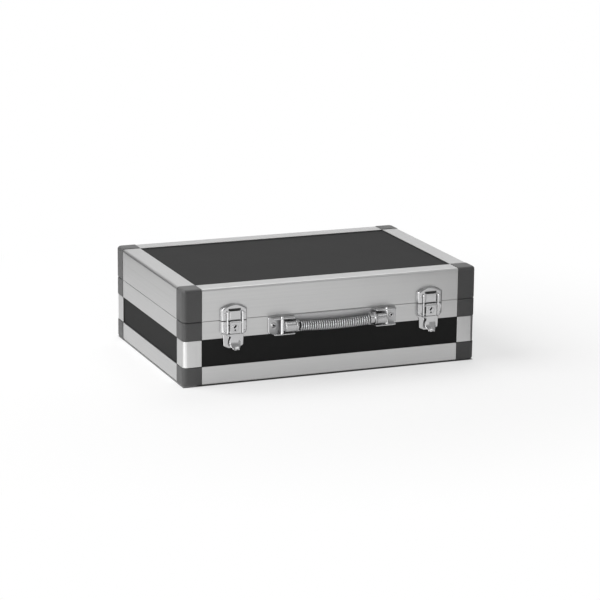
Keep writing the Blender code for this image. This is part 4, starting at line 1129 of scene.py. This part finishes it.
def make_world():
    """White to the camera, darker overhead in mirrors, and a weaker even fill on matt surfaces."""
    world = bpy.data.worlds.new("studio")
    world.use_nodes = True
    bpy.context.scene.world = world
    tree = world.node_tree
    background = tree.nodes["Background"]
    background.inputs["Color"].default_value = (1.0, 1.0, 1.0, 1.0)
    place = add_node(tree, "ShaderNodeTexCoord")
    height = add_node(tree, "ShaderNodeSeparateXYZ")
    tree.links.new(place.outputs["Generated"], height.inputs["Vector"])
    sky = remap(tree, height.outputs["Z"], (SKY_LOW, SKY_HIGH), (1.0, SKY_DARK),
                interpolation_type="SMOOTHSTEP")
    mirrored = add_node(tree, "ShaderNodeMix", {"A": FILL})
    tree.links.new(shown_rays(tree), mirrored.inputs["Factor"])
    tree.links.new(sky, mirrored.inputs["B"])
    path = add_node(tree, "ShaderNodeLightPath")
    level = add_node(tree, "ShaderNodeMix", {"B": 1.0})
    tree.links.new(path.outputs["Is Camera Ray"], level.inputs["Factor"])
    tree.links.new(mirrored.outputs["Result"], level.inputs["A"])
    tree.links.new(level.outputs["Result"], background.inputs["Strength"])


def make_lamp(name, at, size, power):
    lamp = bpy.data.lights.new(name, "AREA")
    lamp.shape = "SQUARE"
    lamp.size = size
    lamp.energy = power
    item = new_object(name, lamp)
    item.location = at
    item.rotation_mode = "QUATERNION"
    item.rotation_quaternion = (Vector(LAMPS_AIM) - Vector(at)).to_track_quat("-Z", "Y")
    return item


def for_mirrors_only(item):
    """Keep an item out of everything but reflections."""
    item.visible_camera = False
    item.visible_diffuse = False
    item.visible_transmission = False
    item.visible_shadow = False


def make_card(first, last, height, grey):
    """Upright grey card beside the case, for the shading of its metal."""
    (x0, y0), (x1, y1) = first, last
    card = new_material("card", (grey,) * 3, 0.9, specular=0.0)[0]
    corners = ((x0, y0, 0), (x1, y1, 0), (x1, y1, height), (x0, y0, height))
    for_mirrors_only(stage_sheet("card", corners, card))


def make_shines():
    """Bright sheets on the floor and overhead, for the light edges of the metal."""
    material, tree, surface = bare_material("shine")
    glow = add_node(tree, "ShaderNodeEmission", {"Strength": SHINE_LEVEL})
    tree.links.new(glow.outputs[0], surface)
    for low, high, height in SHINES:
        for_mirrors_only(stage_sheet("shine", flat_corners(low, high, height), material))


def make_camera():
    """The photograph's view."""
    azimuth, elevation, roll = map(math.radians, (CAMERA_AZIMUTH, CAMERA_ELEVATION, CAMERA_ROLL))
    back = Vector((math.sin(azimuth) * math.cos(elevation), -math.cos(azimuth) * math.cos(elevation),
                   math.sin(elevation)))
    level = Vector((math.cos(azimuth), math.sin(azimuth), 0))
    upright = back.cross(level)
    right = level * math.cos(roll) + upright * math.sin(roll)
    up = upright * math.cos(roll) - level * math.sin(roll)
    middle = Vector((0, 0, CAD_BOX[1].z / 2))
    place = middle + level * CAMERA_ASIDE + upright * CAMERA_ABOVE + back * CAMERA_DISTANCE
    data = bpy.data.cameras.new("camera")
    data.sensor_width = SENSOR
    data.lens = LENS
    camera = new_object("camera", data)
    camera.matrix_world = Matrix.Translation(place) @ Matrix((right, up, back)).transposed().to_4x4()
    bpy.context.scene.camera = camera


def build():
    bpy.context.scene.view_settings.view_transform = "Standard"
    make_camera()
    make_world()
    make_floor()
    make_lamp("key", KEY_AT, KEY_SIZE, KEY_POWER)
    for_mirrors_only(make_lamp("low", LOW_AT, LOW_SIZE, LOW_POWER))
    for card in CARDS:
        make_card(*card)
    make_shines()
    make_lamp("top", TOP_AT, TOP_SIZE, TOP_POWER)
    materials = make_materials()
    make_latches(materials)
    make_handle(materials)
    make_lid_pad(materials["foam"])
    make_tray(materials["foam"])
    for node in frame["nodes"]:
        if not node.startswith(("latch", "lock", "handle")) and SLOT_OF[node] != "foam":
            softened(node, finish_of(node, materials))


build()
